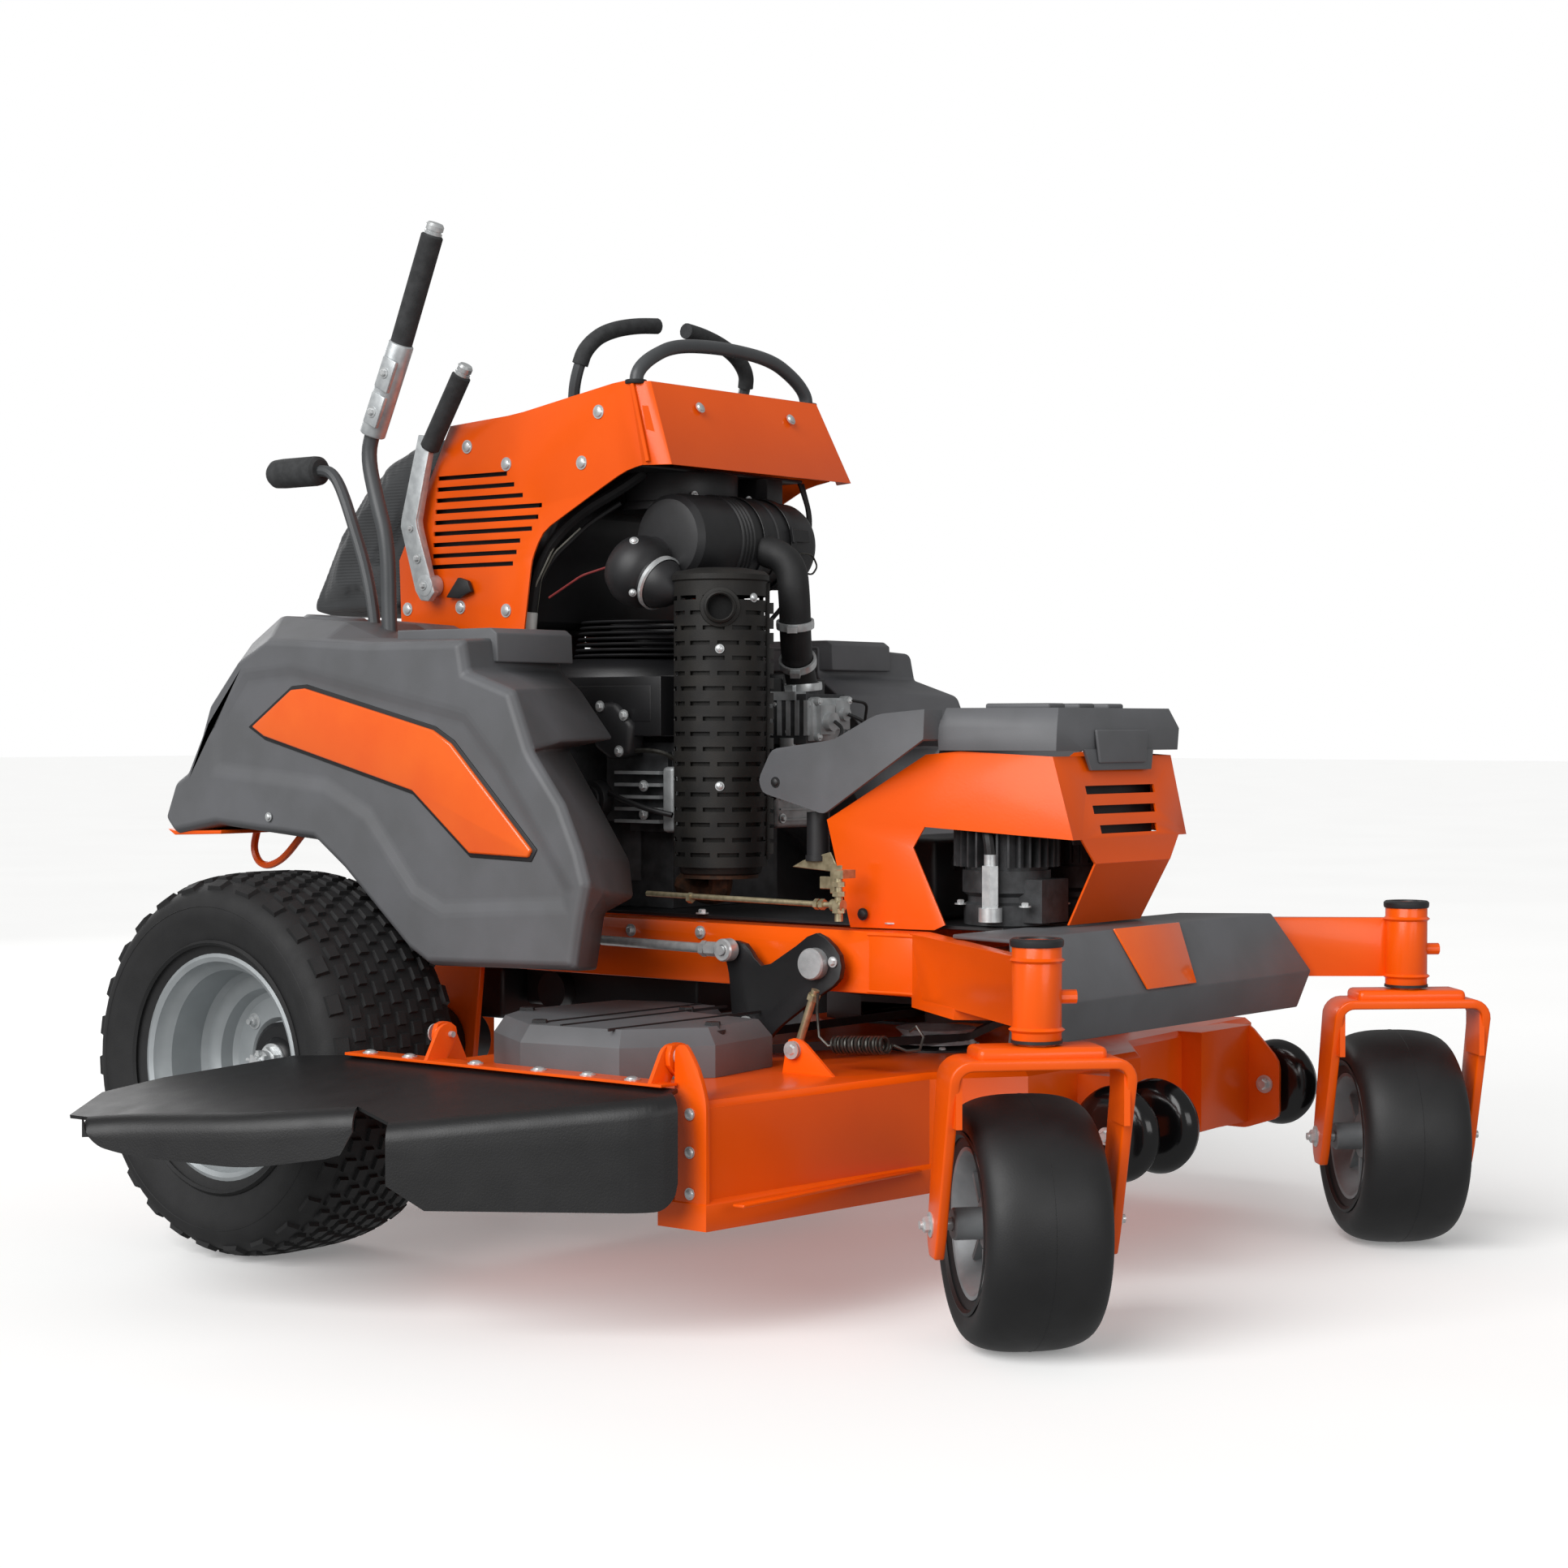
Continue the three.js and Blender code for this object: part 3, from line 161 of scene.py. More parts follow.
# Nitrile foam grip: very fine open cells, no gloss; cells drawn at 1.5 mm.
FOAM = grained("nitrile_foam_grip", "#3A3B3C", "#2E2F30", 14, (0.85, 0.95), 1.5, 0.5)
# Silver grey stove enamel on pressed wheel rims.
RIM = grained("stove_enamel_silver", "#A9AEB0", "#9BA0A2", 80, (0.34, 0.46), 2.5, 0.08, 0.35)
# Grey enamel on the caster rims and their spacer tubes.
RIM_DARK = grained("stove_enamel_grey", "#8B8E90", "#797C7E", 50, (0.36, 0.5), 2.2, 0.1, 0.3)
# Bright zinc plate on bolts and rods.
ZINC = grained("bright_zinc_plate", "#DEE0E0", "#C6C9CA", 12, (0.24, 0.4), 1.2, 0.06, 0.6)
# Yellow chromated zinc on some linkage hardware.
YELLOW_ZINC = grained("yellow_chromate_zinc", "#C4B897", "#A3987A", 10, (0.26, 0.42), 1.2, 0.06, 0.7)
# Sand-cast and die-cast aluminium, as cast: pale, slightly rough.
CAST = grained("cast_aluminium", "#B9BCBD", "#9EA1A2", 25, (0.42, 0.58), 1.8, 0.25, 0.5)
# Spring steel, oiled.
SPRING_STEEL = grained("oiled_spring_steel", "#4C4B47", "#383733", 10, (0.3, 0.42), 1.0, 0.05, 0.7)
# Glossy ball-shaped anti-scalp rollers of black polyethylene.
ROLLER = grained("gloss_polyethylene_black", "#111112", "#0D0D0E", 60, (0.12, 0.2), 5, 0.05)
# Soot inside the exhaust outlet, made near black so that it is also painted shade of the deep bore.
SOOT_AND_SHADE = grained("soot_and_painted_shade", "#080808", "#040404", 8, (0.9, 0.95), 1.0, 0.1)
# Copper-brown stain of a hot exhaust joint.
RUST = grained("heat_stained_steel", "#5A3A26", "#3A2A20", 12, (0.55, 0.75), 1.5, 0.2, 0.5)
# Die-cast aluminium of the pumps under black wash paint.
DARK_CAST = grained("painted_cast_aluminium", "#48494B", "#343536", 25, (0.42, 0.58), 1.8, 0.25, 0.4)
# White nylon sleeve on the control cable.
WHITE_NYLON = grained("moulded_nylon_white", "#D9D9D6", "#CFCFCB", 20, (0.4, 0.5), 1.5, 0.05)
# Red insulated wire.
RED_WIRE = grained("pvc_wire_red", "#8C3434", "#7A2B2B", 12, (0.45, 0.55), 1.5, 0.03)
# Pale insulated wires.
PALE_WIRE = grained("pvc_wire_pale", "#8F8E84", "#7E7D74", 12, (0.45, 0.55), 1.5, 0.03)
# Dark grey powder coat on the lever tubes: satin, slightly pebbled.
GREY_TUBE = grained("powder_coat_graphite", "#4A4C4E", "#434547", 70, (0.36, 0.48), 2.6, 0.08)
# Dull zinc on pressed brackets: soft spangles of about 14 mm.
SATIN_ZINC = grained("satin_zinc_plate", "#CDD1D2", "#B8BCBE", 14, (0.34, 0.5), 1.6, 0.08, 0.5)


def woven_vinyl():
    """Coated fabric over foam: a plain weave of 2.6 mm threads under black vinyl, drawn coarse to show."""
    material, tree, shader, place = start_material("woven_vinyl_black", 0.72, Sheen_Weight=0.25)
    tree.links.new(mottled(tree, place, "#323436", "#27292B", 60), shader.inputs["Base Color"])
    thread = 1 / (2.6 * MM) / 2
    warp = add_node(tree, "ShaderNodeTexWave", {"Vector": place, "Scale": thread / math.pi,
        "Distortion": 0.4}, bands_direction="X")
    weft = add_node(tree, "ShaderNodeTexWave", {"Vector": place, "Scale": thread / math.pi,
        "Distortion": 0.4}, bands_direction="Z")
    weave = add_node(tree, "ShaderNodeMath", operation="MULTIPLY")
    tree.links.new(warp.outputs["Fac"], weave.inputs[0])
    tree.links.new(weft.outputs["Fac"], weave.inputs[1])
    grain_bump(tree, shader, weave.outputs["Value"], 0.5)
    return material


def tread_plate():
    """Black enamel over a grit-coated tread: coarse grains of about 3 mm."""
    material, tree, shader, place = start_material("grit_coated_tread", 0.82)
    tree.links.new(mottled(tree, place, "#1F1F20", "#151516", 40), shader.inputs["Base Color"])
    grit = add_node(tree, "ShaderNodeTexVoronoi", {"Vector": place, "Scale": 1 / (3.2 * MM)})
    grain_bump(tree, shader, grit.outputs["Distance"], 0.8)
    return material


VINYL = woven_vinyl()
TREAD = tread_plate()

# The record's slot that each finish usually shows.
SLOT_FINISHES = {
    "orange_powder_coat": (POWDER, BADGE), "tyre_rubber": (TYRE, SMOOTH_TYRE), "grey_moulding": (MOULDING,),
    "silver_rim_paint": (RIM, RIM_DARK), "black_steel_paint": (ENAMEL, TREAD), "rubber_hose": (HOSE,),
    "heat_proof_black": (STOVE, SOOT_AND_SHADE, RUST), "cast_aluminium": (CAST, DARK_CAST), "pad_vinyl": (VINYL,),
    "black_moulding": (NYLON, ROLLER), "deflector_rubber": (SHEET_RUBBER,), "lever_grip": (FOAM, GREY_TUBE),
    "zinc_plate": (ZINC, YELLOW_ZINC, SPRING_STEEL, SATIN_ZINC),
}
USUAL_SLOT = {finish.name: slot for slot, finishes in SLOT_FINISHES.items() for finish in finishes}


# ---- shapes ----
def along(start, end):
    """Matrix that stands a unit shape between two points, its own Z along them."""
    return facing((start + end) / 2, end - start)


def facing(spot, way, side_axis="Y"):
    """Matrix that puts an origin at spot and turns its Z along way."""
    turn = Vector(way).to_track_quat("Z", side_axis).to_matrix().to_4x4()
    return Matrix.Translation(Vector(spot)) @ turn


def block(bm, corner, opposite):
    """Box between any two opposite corners."""
    low = Vector(min(pair) for pair in zip(corner, opposite))
    high = Vector(max(pair) for pair in zip(corner, opposite))
    place = Matrix.Translation((low + high) / 2) @ Matrix.Diagonal((*(high - low), 1))
    bmesh.ops.create_cube(bm, size=1, matrix=place)


def lug(bm, turn, spot, size):
    """Small box of a size at a spot of a turned frame."""
    bmesh.ops.create_cube(bm, size=1, matrix=turn @ Matrix.Translation(spot) @ Matrix.Diagonal((*size, 1)))


def round_bar(bm, start, end, radius, sides=24, end_radius=None):
    start, end = Vector(start), Vector(end)
    far = radius if end_radius is None else end_radius
    bmesh.ops.create_cone(bm, cap_ends=True, segments=sides, radius1=radius, radius2=far,
        depth=(end - start).length, matrix=along(start, end))


def spun(bm, profile, centre, axis="x", steps=48, closed=False, flip=1):
    """Turned shape: profile is (radius, height) pairs; closed joins its last point to its first."""
    centre, direction = Vector(centre), AXES[axis]
    across = AXES["z"] if axis != "z" else AXES["x"]
    verts = [bm.verts.new(centre + across * r + direction * (h * flip)) for r, h in profile]
    pairs = list(zip(verts, verts[1:])) + ([(verts[-1], verts[0])] if closed else [])
    edges = [bm.edges.new(pair) for pair in pairs]
    bmesh.ops.spin(bm, geom=verts + edges, cent=centre, axis=direction, angle=math.tau, steps=steps,
        use_merge=True)


def plate(bm, corners, push):
    """Flat face through the corners, given a thickness."""
    face = bm.faces.new([bm.verts.new(Vector(c)) for c in corners])
    made = bmesh.ops.extrude_face_region(bm, geom=[face])["geom"]
    bmesh.ops.translate(bm, vec=Vector(push), verts=[g for g in made if isinstance(g, bmesh.types.BMVert)])


def side_plate(bm, outline, near, far):
    """Plate whose outline is (y, z) pairs, between two x values."""
    plate(bm, [(near, y, z) for y, z in outline], (far - near, 0, 0))


def rounded_route(points, bend, steps=5):
    """The same route with each corner turned on a short curve that starts bend before it."""
    points = [Vector(p) for p in points]
    route = [points[0]]
    for before, corner, after in zip(points, points[1:], points[2:]):
        start = corner + (before - corner).normalized() * min(bend, (before - corner).length * 0.49)
        end = corner + (after - corner).normalized() * min(bend, (after - corner).length * 0.49)
        for i in range(steps + 1):
            t = i / steps
            route.append(start * (1 - t) ** 2 + corner * 2 * t * (1 - t) + end * t * t)
    return route + [points[-1]]


def pipe(bm, points, radius, sides=12, steps=5, bend=None):
    """Round tube along straight stretches with rounded corners."""
    route = rounded_route(points, bend or radius * 5, steps) if steps else points
    curve = bpy.data.curves.new("pipe", "CURVE")
    curve.dimensions = "3D"
    spline = curve.splines.new("POLY")
    spline.points.add(len(route) - 1)
    for point, spot in zip(spline.points, route):
        point.co = (*spot, 1)
    curve.bevel_depth = radius
    curve.bevel_resolution = max(1, (sides - 4) // 4)
    curve.use_fill_caps = True
    holder = bpy.data.objects.new("pipe", curve)
    mesh = bpy.data.meshes.new_from_object(holder)
    bm.from_mesh(mesh)
    bpy.data.objects.remove(holder)
    bpy.data.curves.remove(curve)
    bpy.data.meshes.remove(mesh)


def bevel_edges(bm, width, segments=2, angle=28):
    sharp = [e for e in bm.edges if e.is_manifold and e.calc_face_angle() > math.radians(angle)]
    bmesh.ops.bevel(bm, geom=sharp, offset=width, offset_type="OFFSET", affect="EDGES", segments=segments,
        profile=0.5, material=-1, clamp_overlap=True)


def absorbed(bm, other):
    """Adds another bmesh's geometry to bm and frees it."""
    holder = bpy.data.meshes.new("holder")
    other.to_mesh(holder)
    other.free()
    bm.from_mesh(holder)
    bpy.data.meshes.remove(holder)


def merged(bm):
    bmesh.ops.remove_doubles(bm, verts=bm.verts, dist=0.01)
    bmesh.ops.recalc_face_normals(bm, faces=bm.faces)


def finished(name, bm, material, body="chassis", slot=None, replaces=(), recalc=True):
    """Turns drawn millimetres into a piece in the row's metres that rides on a body."""
    if recalc:
        bmesh.ops.recalc_face_normals(bm, faces=bm.faces)
    bm.transform(TO_ROW)
    for face in bm.faces:
        face.smooth = True
    for edge in bm.edges:
        edge.smooth = edge.is_manifold and edge.calc_face_angle() < SHARP
    mesh = bpy.data.meshes.new(name)
    bm.to_mesh(mesh)
    bm.free()
    mesh.materials.append(material)
    piece = linked(name, mesh)
    slot = slot or USUAL_SLOT[material.name]
    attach(piece, body)
    if replaces:
        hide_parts(*replaces)
    return piece


def rounded_by(piece, width, segments, degrees):
    rounding = piece.modifiers.new("rounded_edges", "BEVEL")
    rounding.width = width * MM
    rounding.segments = segments
    rounding.limit_method = "ANGLE"
    rounding.angle_limit = math.radians(degrees)
    rounding.harden_normals = True


def walled(piece, thickness):
    """Gives a piece drawn as a skin its wall, inwards."""
    wall = piece.modifiers.new("wall", "SOLIDIFY")
    wall.thickness = thickness * MM
    wall.offset = -1


def without_creases(piece):
    for edge in piece.data.edges:
        edge.use_edge_sharp = False


def node_body(node):
    for body, members in frame["record"]["behaviour"]["bodies"].items():
        if node in members:
            return body
    raise KeyError(node)


def softened(node, material, width):
    """Copy of a CAD node with its flat faces joined up and its edges rounded, shown in the node's place."""
    bm = bmesh.new()
    bm.from_mesh(frame["nodes"][node].data)
    bmesh.ops.remove_doubles(bm, verts=bm.verts, dist=0.00002)
    bmesh.ops.dissolve_limit(bm, angle_limit=math.radians(1.5), verts=bm.verts, edges=bm.edges)
    for face in bm.faces:
        face.smooth = True
    mesh = bpy.data.meshes.new(node + "_finished")
    bm.to_mesh(mesh)
    bm.free()
    mesh.materials.append(material)
    piece = linked(node + "_finished", mesh)
    rounded_by(piece, width, 2, 26)
    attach(piece, node_body(node))
    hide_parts(node)
    return piece


def hex_bolt(bm, spot, normal, size=10, stud=0.0):
    """Washer, hexagon head with a chamfered top and, if stud is given, a threaded end."""
    spot, normal = Vector(spot), Vector(normal).normalized()
    round_bar(bm, spot - normal * 0.5, spot + normal * 1.6, size * 0.98, 20)
    round_bar(bm, spot + normal * 1.6, spot + normal * (1.6 + size * 0.42), size * 0.62, 6)
    top = spot + normal * (1.6 + size * 0.42)
    round_bar(bm, top, top + normal * (size * 0.12), size * 0.6, 6, size * 0.46)
    if stud:
        round_bar(bm, top, top + normal * stud, size * 0.34, 12)


def dome_bolt(bm, spot, normal, size=10):
    """Low domed flange bolt, as used to hold sheet panels."""
    spot, normal = Vector(spot), Vector(normal).normalized()
    round_bar(bm, spot - normal * 0.5, spot + normal * 1.4, size, 20)
    round_bar(bm, spot + normal * 1.4, spot + normal * 3.4, size * 0.8, 16, size * 0.68)
    round_bar(bm, spot + normal * 3.4, spot + normal * 4.8, size * 0.68, 16, size * 0.34)


def fasteners(name, body, spots, maker=hex_bolt, material=ZINC):
    """One piece of many fasteners; spots are (place, normal, size) or with a stud length too."""
    bm = bmesh.new()
    for spot in spots:
        maker(bm, *spot)
    return finished(name, bm, material, body)


# ---- camera, floor and light ----
CAMERA_SPOT = Vector((-3558.11, -3388.96, 804.55))   # machine millimetres
CAMERA_DIP = 1.14                 # degrees below level
CAMERA_HEADING = -51.11           # degrees from +Y, towards +X
CAMERA_LENS = 66.46               # millimetres, on a sensor 36 wide
FLOOR_HALF = 60                   # metres
FLOOR_GLOW = 0.2                  # keeps the paper white where little light falls
KEY_WAY = Vector((0.85, 0.02, -0.52))
KEY_ENERGY = 2.9
KEY_SPREAD = math.radians(50)
SOFTBOX_WATTS = 60


def make_camera():
    camera = linked("camera", bpy.data.cameras.new("camera"))
    camera.location = TO_ROW @ CAMERA_SPOT
    camera.rotation_euler = (math.radians(90 - CAMERA_DIP), 0, math.radians(CAMERA_HEADING))
    camera.data.lens = CAMERA_LENS
    camera.data.sensor_width = 36
    camera.data.clip_end = 100
    bpy.context.scene.camera = camera


def make_floor():
    bm = bmesh.new()
    bmesh.ops.create_grid(bm, x_segments=1, y_segments=1, size=FLOOR_HALF)
    mesh = bpy.data.meshes.new("studio_floor")
    bm.to_mesh(mesh)
    bm.free()
    floor = linked("studio_floor", mesh)
    # Matt white paper backdrop with barely visible mottling.
    material, tree, shader, place = start_material("matt_paper_backdrop", 0.95, Specular_IOR_Level=0.1)
    tree.links.new(mottled(tree, place, "#F7F7F6", "#F4F4F3", 900), shader.inputs["Base Color"])
    shader.inputs["Emission Color"].default_value = (1, 1, 1, 1)
    shader.inputs["Emission Strength"].default_value = FLOOR_GLOW
    mesh.materials.append(material)
    floor.visible_diffuse = False
    floor.visible_glossy = False


def softbox(name, place, target, size):
    light = bpy.data.lights.new(name, "AREA")
    light.shape = "RECTANGLE"
    light.size, light.size_y = size
    light.energy = SOFTBOX_WATTS
    lamp = linked(name, light)
    lamp.location = place
    lamp.rotation_euler = (Vector(target) - Vector(place)).to_track_quat("-Z", "Y").to_euler()


def make_world():
    """White surroundings that light the machine less than they show."""
    world = bpy.data.worlds.new("studio")
    world.use_nodes = True
    tree = world.node_tree
    tree.nodes.clear()
    seen = add_node(tree, "ShaderNodeBackground", {"Color": (1, 1, 1, 1), "Strength": 1.0})
    fill = add_node(tree, "ShaderNodeBackground", {"Color": (1, 1, 1, 1), "Strength": FILL_STRENGTH})
    path = add_node(tree, "ShaderNodeLightPath")
    mix = add_node(tree, "ShaderNodeMixShader", {"Fac": path.outputs["Is Camera Ray"]})
    tree.links.new(fill.outputs["Background"], mix.inputs[1])
    tree.links.new(seen.outputs["Background"], mix.inputs[2])
    add_node(tree, "ShaderNodeOutputWorld", {"Surface": mix.outputs["Shader"]})
    bpy.context.scene.world = world


def make_light():
    make_world()
    sun = bpy.data.lights.new("key_light", "SUN")
    sun.energy = KEY_ENERGY
    sun.angle = KEY_SPREAD
    key = linked("key_light", sun)
    key.rotation_euler = KEY_WAY.to_track_quat("-Z", "Y").to_euler()
    middle = (0, -0.2, 0.6)
    softbox("front_softbox", (-2.0, -6.0, 1.8), middle, (3.5, 2.0))
    softbox("rear_softbox", (1.5, 5.5, 3.0), middle, (3.0, 2.0))
    bpy.context.scene.view_settings.view_transform = "Standard"
    bpy.context.scene.view_settings.look = "None"


# ---- wheels ----
REAR_WHEEL_X = 598
REAR_R = 292                      # rolling radius of a drive tyre, and the height of its axle
REAR_HALF = 133.5
REAR_BELLY = 226
REAR_CROWN = 286                  # carcass under the tread blocks
TREAD_ROWS = 9
TREAD_ROW_PITCH = 27.5
TREAD_PER_TURN = 54
TREAD_REACH = 118                 # furthest offset of a block's middle
SECTION_POWER = 3.2               # above 2 the section is squarer than an ellipse


def section_radius(offset, half, belly, crown, power):
    return belly + (crown - belly) * (1 - abs(offset / half) ** power) ** (1 / power)


def tyre_section(bead_radius, bead_half, half, belly, crown, power, steps=22):
    """Outer tyre section from bead to bead as (radius, offset) pairs."""
    points = [(bead_radius, -bead_half)]
    for i in range(steps + 1):
        turn = math.pi * (i / steps - 0.5)
        offset = half * math.copysign(abs(math.sin(turn)) ** (2 / power), math.sin(turn))
        points.append((belly + (crown - belly) * abs(math.cos(turn)) ** (2 / power), offset))
    return points + [(bead_radius, bead_half)]


def tread_block(bm, centre, turn, offset, size):
    """One rubber block standing on the carcass, wider at its foot."""
    shape = (REAR_HALF, REAR_BELLY, REAR_CROWN, SECTION_POWER)
    radius = section_radius(offset, *shape)
    fall = radius - section_radius(offset + 1, *shape) if offset >= 0 else \
        section_radius(offset - 1, *shape) - radius
    spin = Matrix.Rotation(turn, 4, "X")
    lean = Matrix.Rotation(math.atan(fall), 4, "Y")
    corner_up = Matrix.Rotation(math.radians(45), 4, "Z")
    stand = Matrix.Translation(centre) @ spin @ Matrix.Translation((offset, 0, radius + 0.6)) @ lean
    bmesh.ops.create_cone(bm, cap_ends=True, segments=4, radius1=0.707, radius2=0.56, depth=1,
        matrix=stand @ Matrix.Diagonal((*size, 1)) @ corner_up)


def make_rear_tyre(side):
    centre = Vector((SIDES[side] * REAR_WHEEL_X, 0, REAR_R))
    bm = bmesh.new()
    section = tyre_section(165, REAR_HALF - 26, REAR_HALF, REAR_BELLY, REAR_CROWN, SECTION_POWER)
    spun(bm, section, centre, "x", 72, closed=True)
    for edge in (-1, 1):
        for radius, offset in ((188, REAR_HALF - 9), (243, REAR_HALF - 1)):
            rib = [(radius - 4, edge * (offset - 3)), (radius, edge * (offset + 1)), (radius + 4,
                edge * (offset - 3))]
            spun(bm, rib, centre, "x", 72, closed=True)
    merged(bm)
    for row in range(TREAD_ROWS):
        offset = (row - (TREAD_ROWS - 1) / 2) * TREAD_ROW_PITCH
        offset = max(-TREAD_REACH, min(TREAD_REACH, offset))
        outer = row in (0, TREAD_ROWS - 1)
        blocks = TREAD_PER_TURN // (2 if outer else 1)
        for i in range(blocks):
            turn = math.tau / blocks * (i + 0.5 * (row % 2))
            size = (24, 34, 9) if outer else (21 - 3 * (i + row) % 6, 24, 9.5)
            tread_block(bm, centre, turn, offset, size)
    finished(f"tyre_treaded_{side}", bm, TYRE, f"rear_wheel_{side}", replaces=[f"rear_tyre_{side}"])


RIM_SECTION = [(34, -18), (60, -18), (66, -10), (98, -10), (106, -4), (112, 14), (121, 20), (133, 22), (141,
    30), (145, 84), (151, 92), (156, 99), (159, 108), (166, 112), (172, 110), (173, 104), (164, 98), (163,
    -98), (171, -104), (170, -110), (160, -108), (152, -82), (143, -60), (120, -30), (100, -24), (34, -24)]


def make_rear_rim(side):
    s = SIDES[side]
    centre = Vector((s * REAR_WHEEL_X, 0, REAR_R))
    bm = bmesh.new()
    spun(bm, [(r, s * h) for r, h in RIM_SECTION], centre, "x", 72, closed=True)
    merged(bm)
    finished(f"rim_dish_{side}", bm, RIM, f"rear_wheel_{side}", replaces=[f"rear_rim_{side}"])
    bm = bmesh.new()
    hub = [(0, -30), (58, -30), (58, -8), (52, -4), (36, -4), (33, 2), (28, 6), (0, 6)]
    spun(bm, [(r, s * h) for r, h in hub], centre, "x", 36)
    round_bar(bm, centre - AXES["x"] * s * 262, centre - AXES["x"] * s * 30, 31, 32)
    merged(bm)
    finished(f"hub_{side}", bm, ENAMEL, f"rear_wheel_{side}")
    bm = bmesh.new()
    outward = AXES["x"] * s
    face = centre + outward * 5
    round_bar(bm, face, face + outward * 4, 27, 28)
    round_bar(bm, face + outward * 4, face + outward * 16, 22, 6)
    round_bar(bm, face + outward * 16, face + outward * 26, 18, 24)
    for i in range(6):
        arm = Matrix.Rotation(math.tau * i / 6, 4, "X") @ Vector((0, 0, 15))
        low = face + outward * 26 + arm - Vector((0, 3.5, 3.5))
        block(bm, low, low + Vector((s * 7, 7, 7)))
    round_bar(bm, face, face + outward * 40, 9.5, 20)
    round_bar(bm, face + outward * 30 + Vector((0, -26, -3)), face + outward * 30 + Vector((0, 26, 3)), 3,
        10)
    for i in range(5):
        turn = Matrix.Rotation(math.tau * (i + 0.35) / 5, 4, "X")
        spot = centre + outward * -10 + turn @ Vector((0, 0, 82))
        hex_bolt(bm, spot, outward, 13, 7)
    finished(f"wheel_nuts_{side}", bm, ZINC, f"rear_wheel_{side}")
    bm = bmesh.new()
    valve = centre + Vector((0, -40, 132))
    round_bar(bm, valve + outward * 18, valve + outward * 52, 6, 14, 4.5)
    round_bar(bm, valve + outward * 50, valve + outward * 62, 5, 12)
    finished(f"valve_{side}", bm, TYRE, f"rear_wheel_{side}")


CASTER_X = 508
CASTER_Y = -1340
CASTER_TRAIL = 67
CASTER_R = 165
CASTER_ANGLE = {"right": -41, "left": -46}


def caster_turn(side):
    pivot = Matrix.Translation((SIDES[side] * CASTER_X, CASTER_Y, 0))
    return pivot @ Matrix.Rotation(math.radians(CASTER_ANGLE[side]), 4, "Z")


def make_caster_wheel(side):
    centre = Vector((0, CASTER_TRAIL, CASTER_R))
    body = f"caster_wheel_{side}"
    bm = bmesh.new()
    section = tyre_section(92, 68, 82.5, 130, CASTER_R, 2.7, 26)
    spun(bm, section, centre, "x", 96, closed=True)
    spun(bm, [(CASTER_R - 1, -1.2), (CASTER_R + 0.4, 0), (CASTER_R - 1, 1.2)], centre, "x", 96,
        closed=True)
    for edge in (-1, 1):
        rib = [(110, edge * 77), (114, edge * 81), (118, edge * 80)]
        spun(bm, rib, centre, "x", 96, closed=True)
    merged(bm)
    bm.transform(caster_turn(side))
    finished(f"tyre_smooth_{side}", bm, SMOOTH_TYRE, body, replaces=[f"caster_tyre_{side}"])
    bm = bmesh.new()
    dish = [(15, -52), (34, -52), (40, -40), (70, -36), (80, -50), (86, -64), (93, -71), (98, -72), (98,
        -66), (92, -60), (92, 60), (98, 66), (98, 72), (93, 71), (86, 64), (80, 50), (70, 36), (40, 40),
        (34, 52), (15, 52)]
    spun(bm, dish, centre, "x", 48, closed=True)
    spun(bm, [(9, -94), (19, -94), (21, -91), (21, 91), (19, 94), (9, 94)], centre, "x", 32, closed=True)
    merged(bm)
    for edge in (-1, 1):
        for i in range(8):
            turn = Matrix.Translation(centre) @ Matrix.Rotation(math.tau * i / 8, 4, "X")
            lug(bm, turn, (edge * 44, 0, 56), (18, 7, 44))
    bm.transform(caster_turn(side))
    finished(f"caster_rim_ribbed_{side}", bm, RIM_DARK, body, replaces=[f"caster_rim_{side}"])


def make_fork(side):
    """Fork bent from one thick bar: two raked legs and a crown, with a channel welded on top."""
    outside, inside, top, bend = 122, 108, 387, 30
    stations = [(122, 47, 77), (136, 40, 86), (152, 33, 90)]
    stations += [(z, 33 - 71 * (z - 152) / 205, 90 - 52 * (z - 152) / 205) for z in (220, 290, top - bend)]
    bar = [((-outside, z), (-inside, z), low, high) for z, low, high in stations]
    for i in range(1, 7):
        turn = math.radians(15 * i)
        centre = (-outside + bend, top - bend)
        spots = [(centre[0] - reach * math.cos(turn),
            centre[1] + reach * math.sin(turn)) for reach in (bend, bend - 14)]
        bar.append((*spots, -38 - i, 38 + i))
    bar += [((-x0, z0), (-x1, z1), low, high) for (x0, z0), (x1, z1), low, high in reversed(bar)]
    bm = bmesh.new()
    loops = []
    for (x0, z0), (x1, z1), low, high in bar:
        verts = [bm.verts.new(c) for c in ((x0, low, z0), (x0, high, z0), (x1, high, z1), (x1, low, z1))]
        loops.append([bm.edges.new(pair) for pair in zip(verts, verts[1:] + verts[:1])])
    bridged(bm, loops)
    for loop in (loops[0], loops[-1]):
        bmesh.ops.contextual_create(bm, geom=loop)
    bevel_edges(bm, 3, 3, 50)
    crown = bmesh.new()
    block(crown, (-84, -36, 380), (84, 36, 401))
    bevel_edges(crown, 8, 3)
    absorbed(bm, crown)
    for edge in (-1, 1):
        block(bm, (edge * 109 - 4, -34, 300), (edge * 109 + 4, 30, 372))
    round_bar(bm, (0, 0, 398), (0, 0, 410), 24, 32)
    bm.transform(caster_turn(side))
    finished(f"fork_bent_{side}", bm, POWDER, f"fork_{side}", replaces=[f"caster_fork_{side}"])


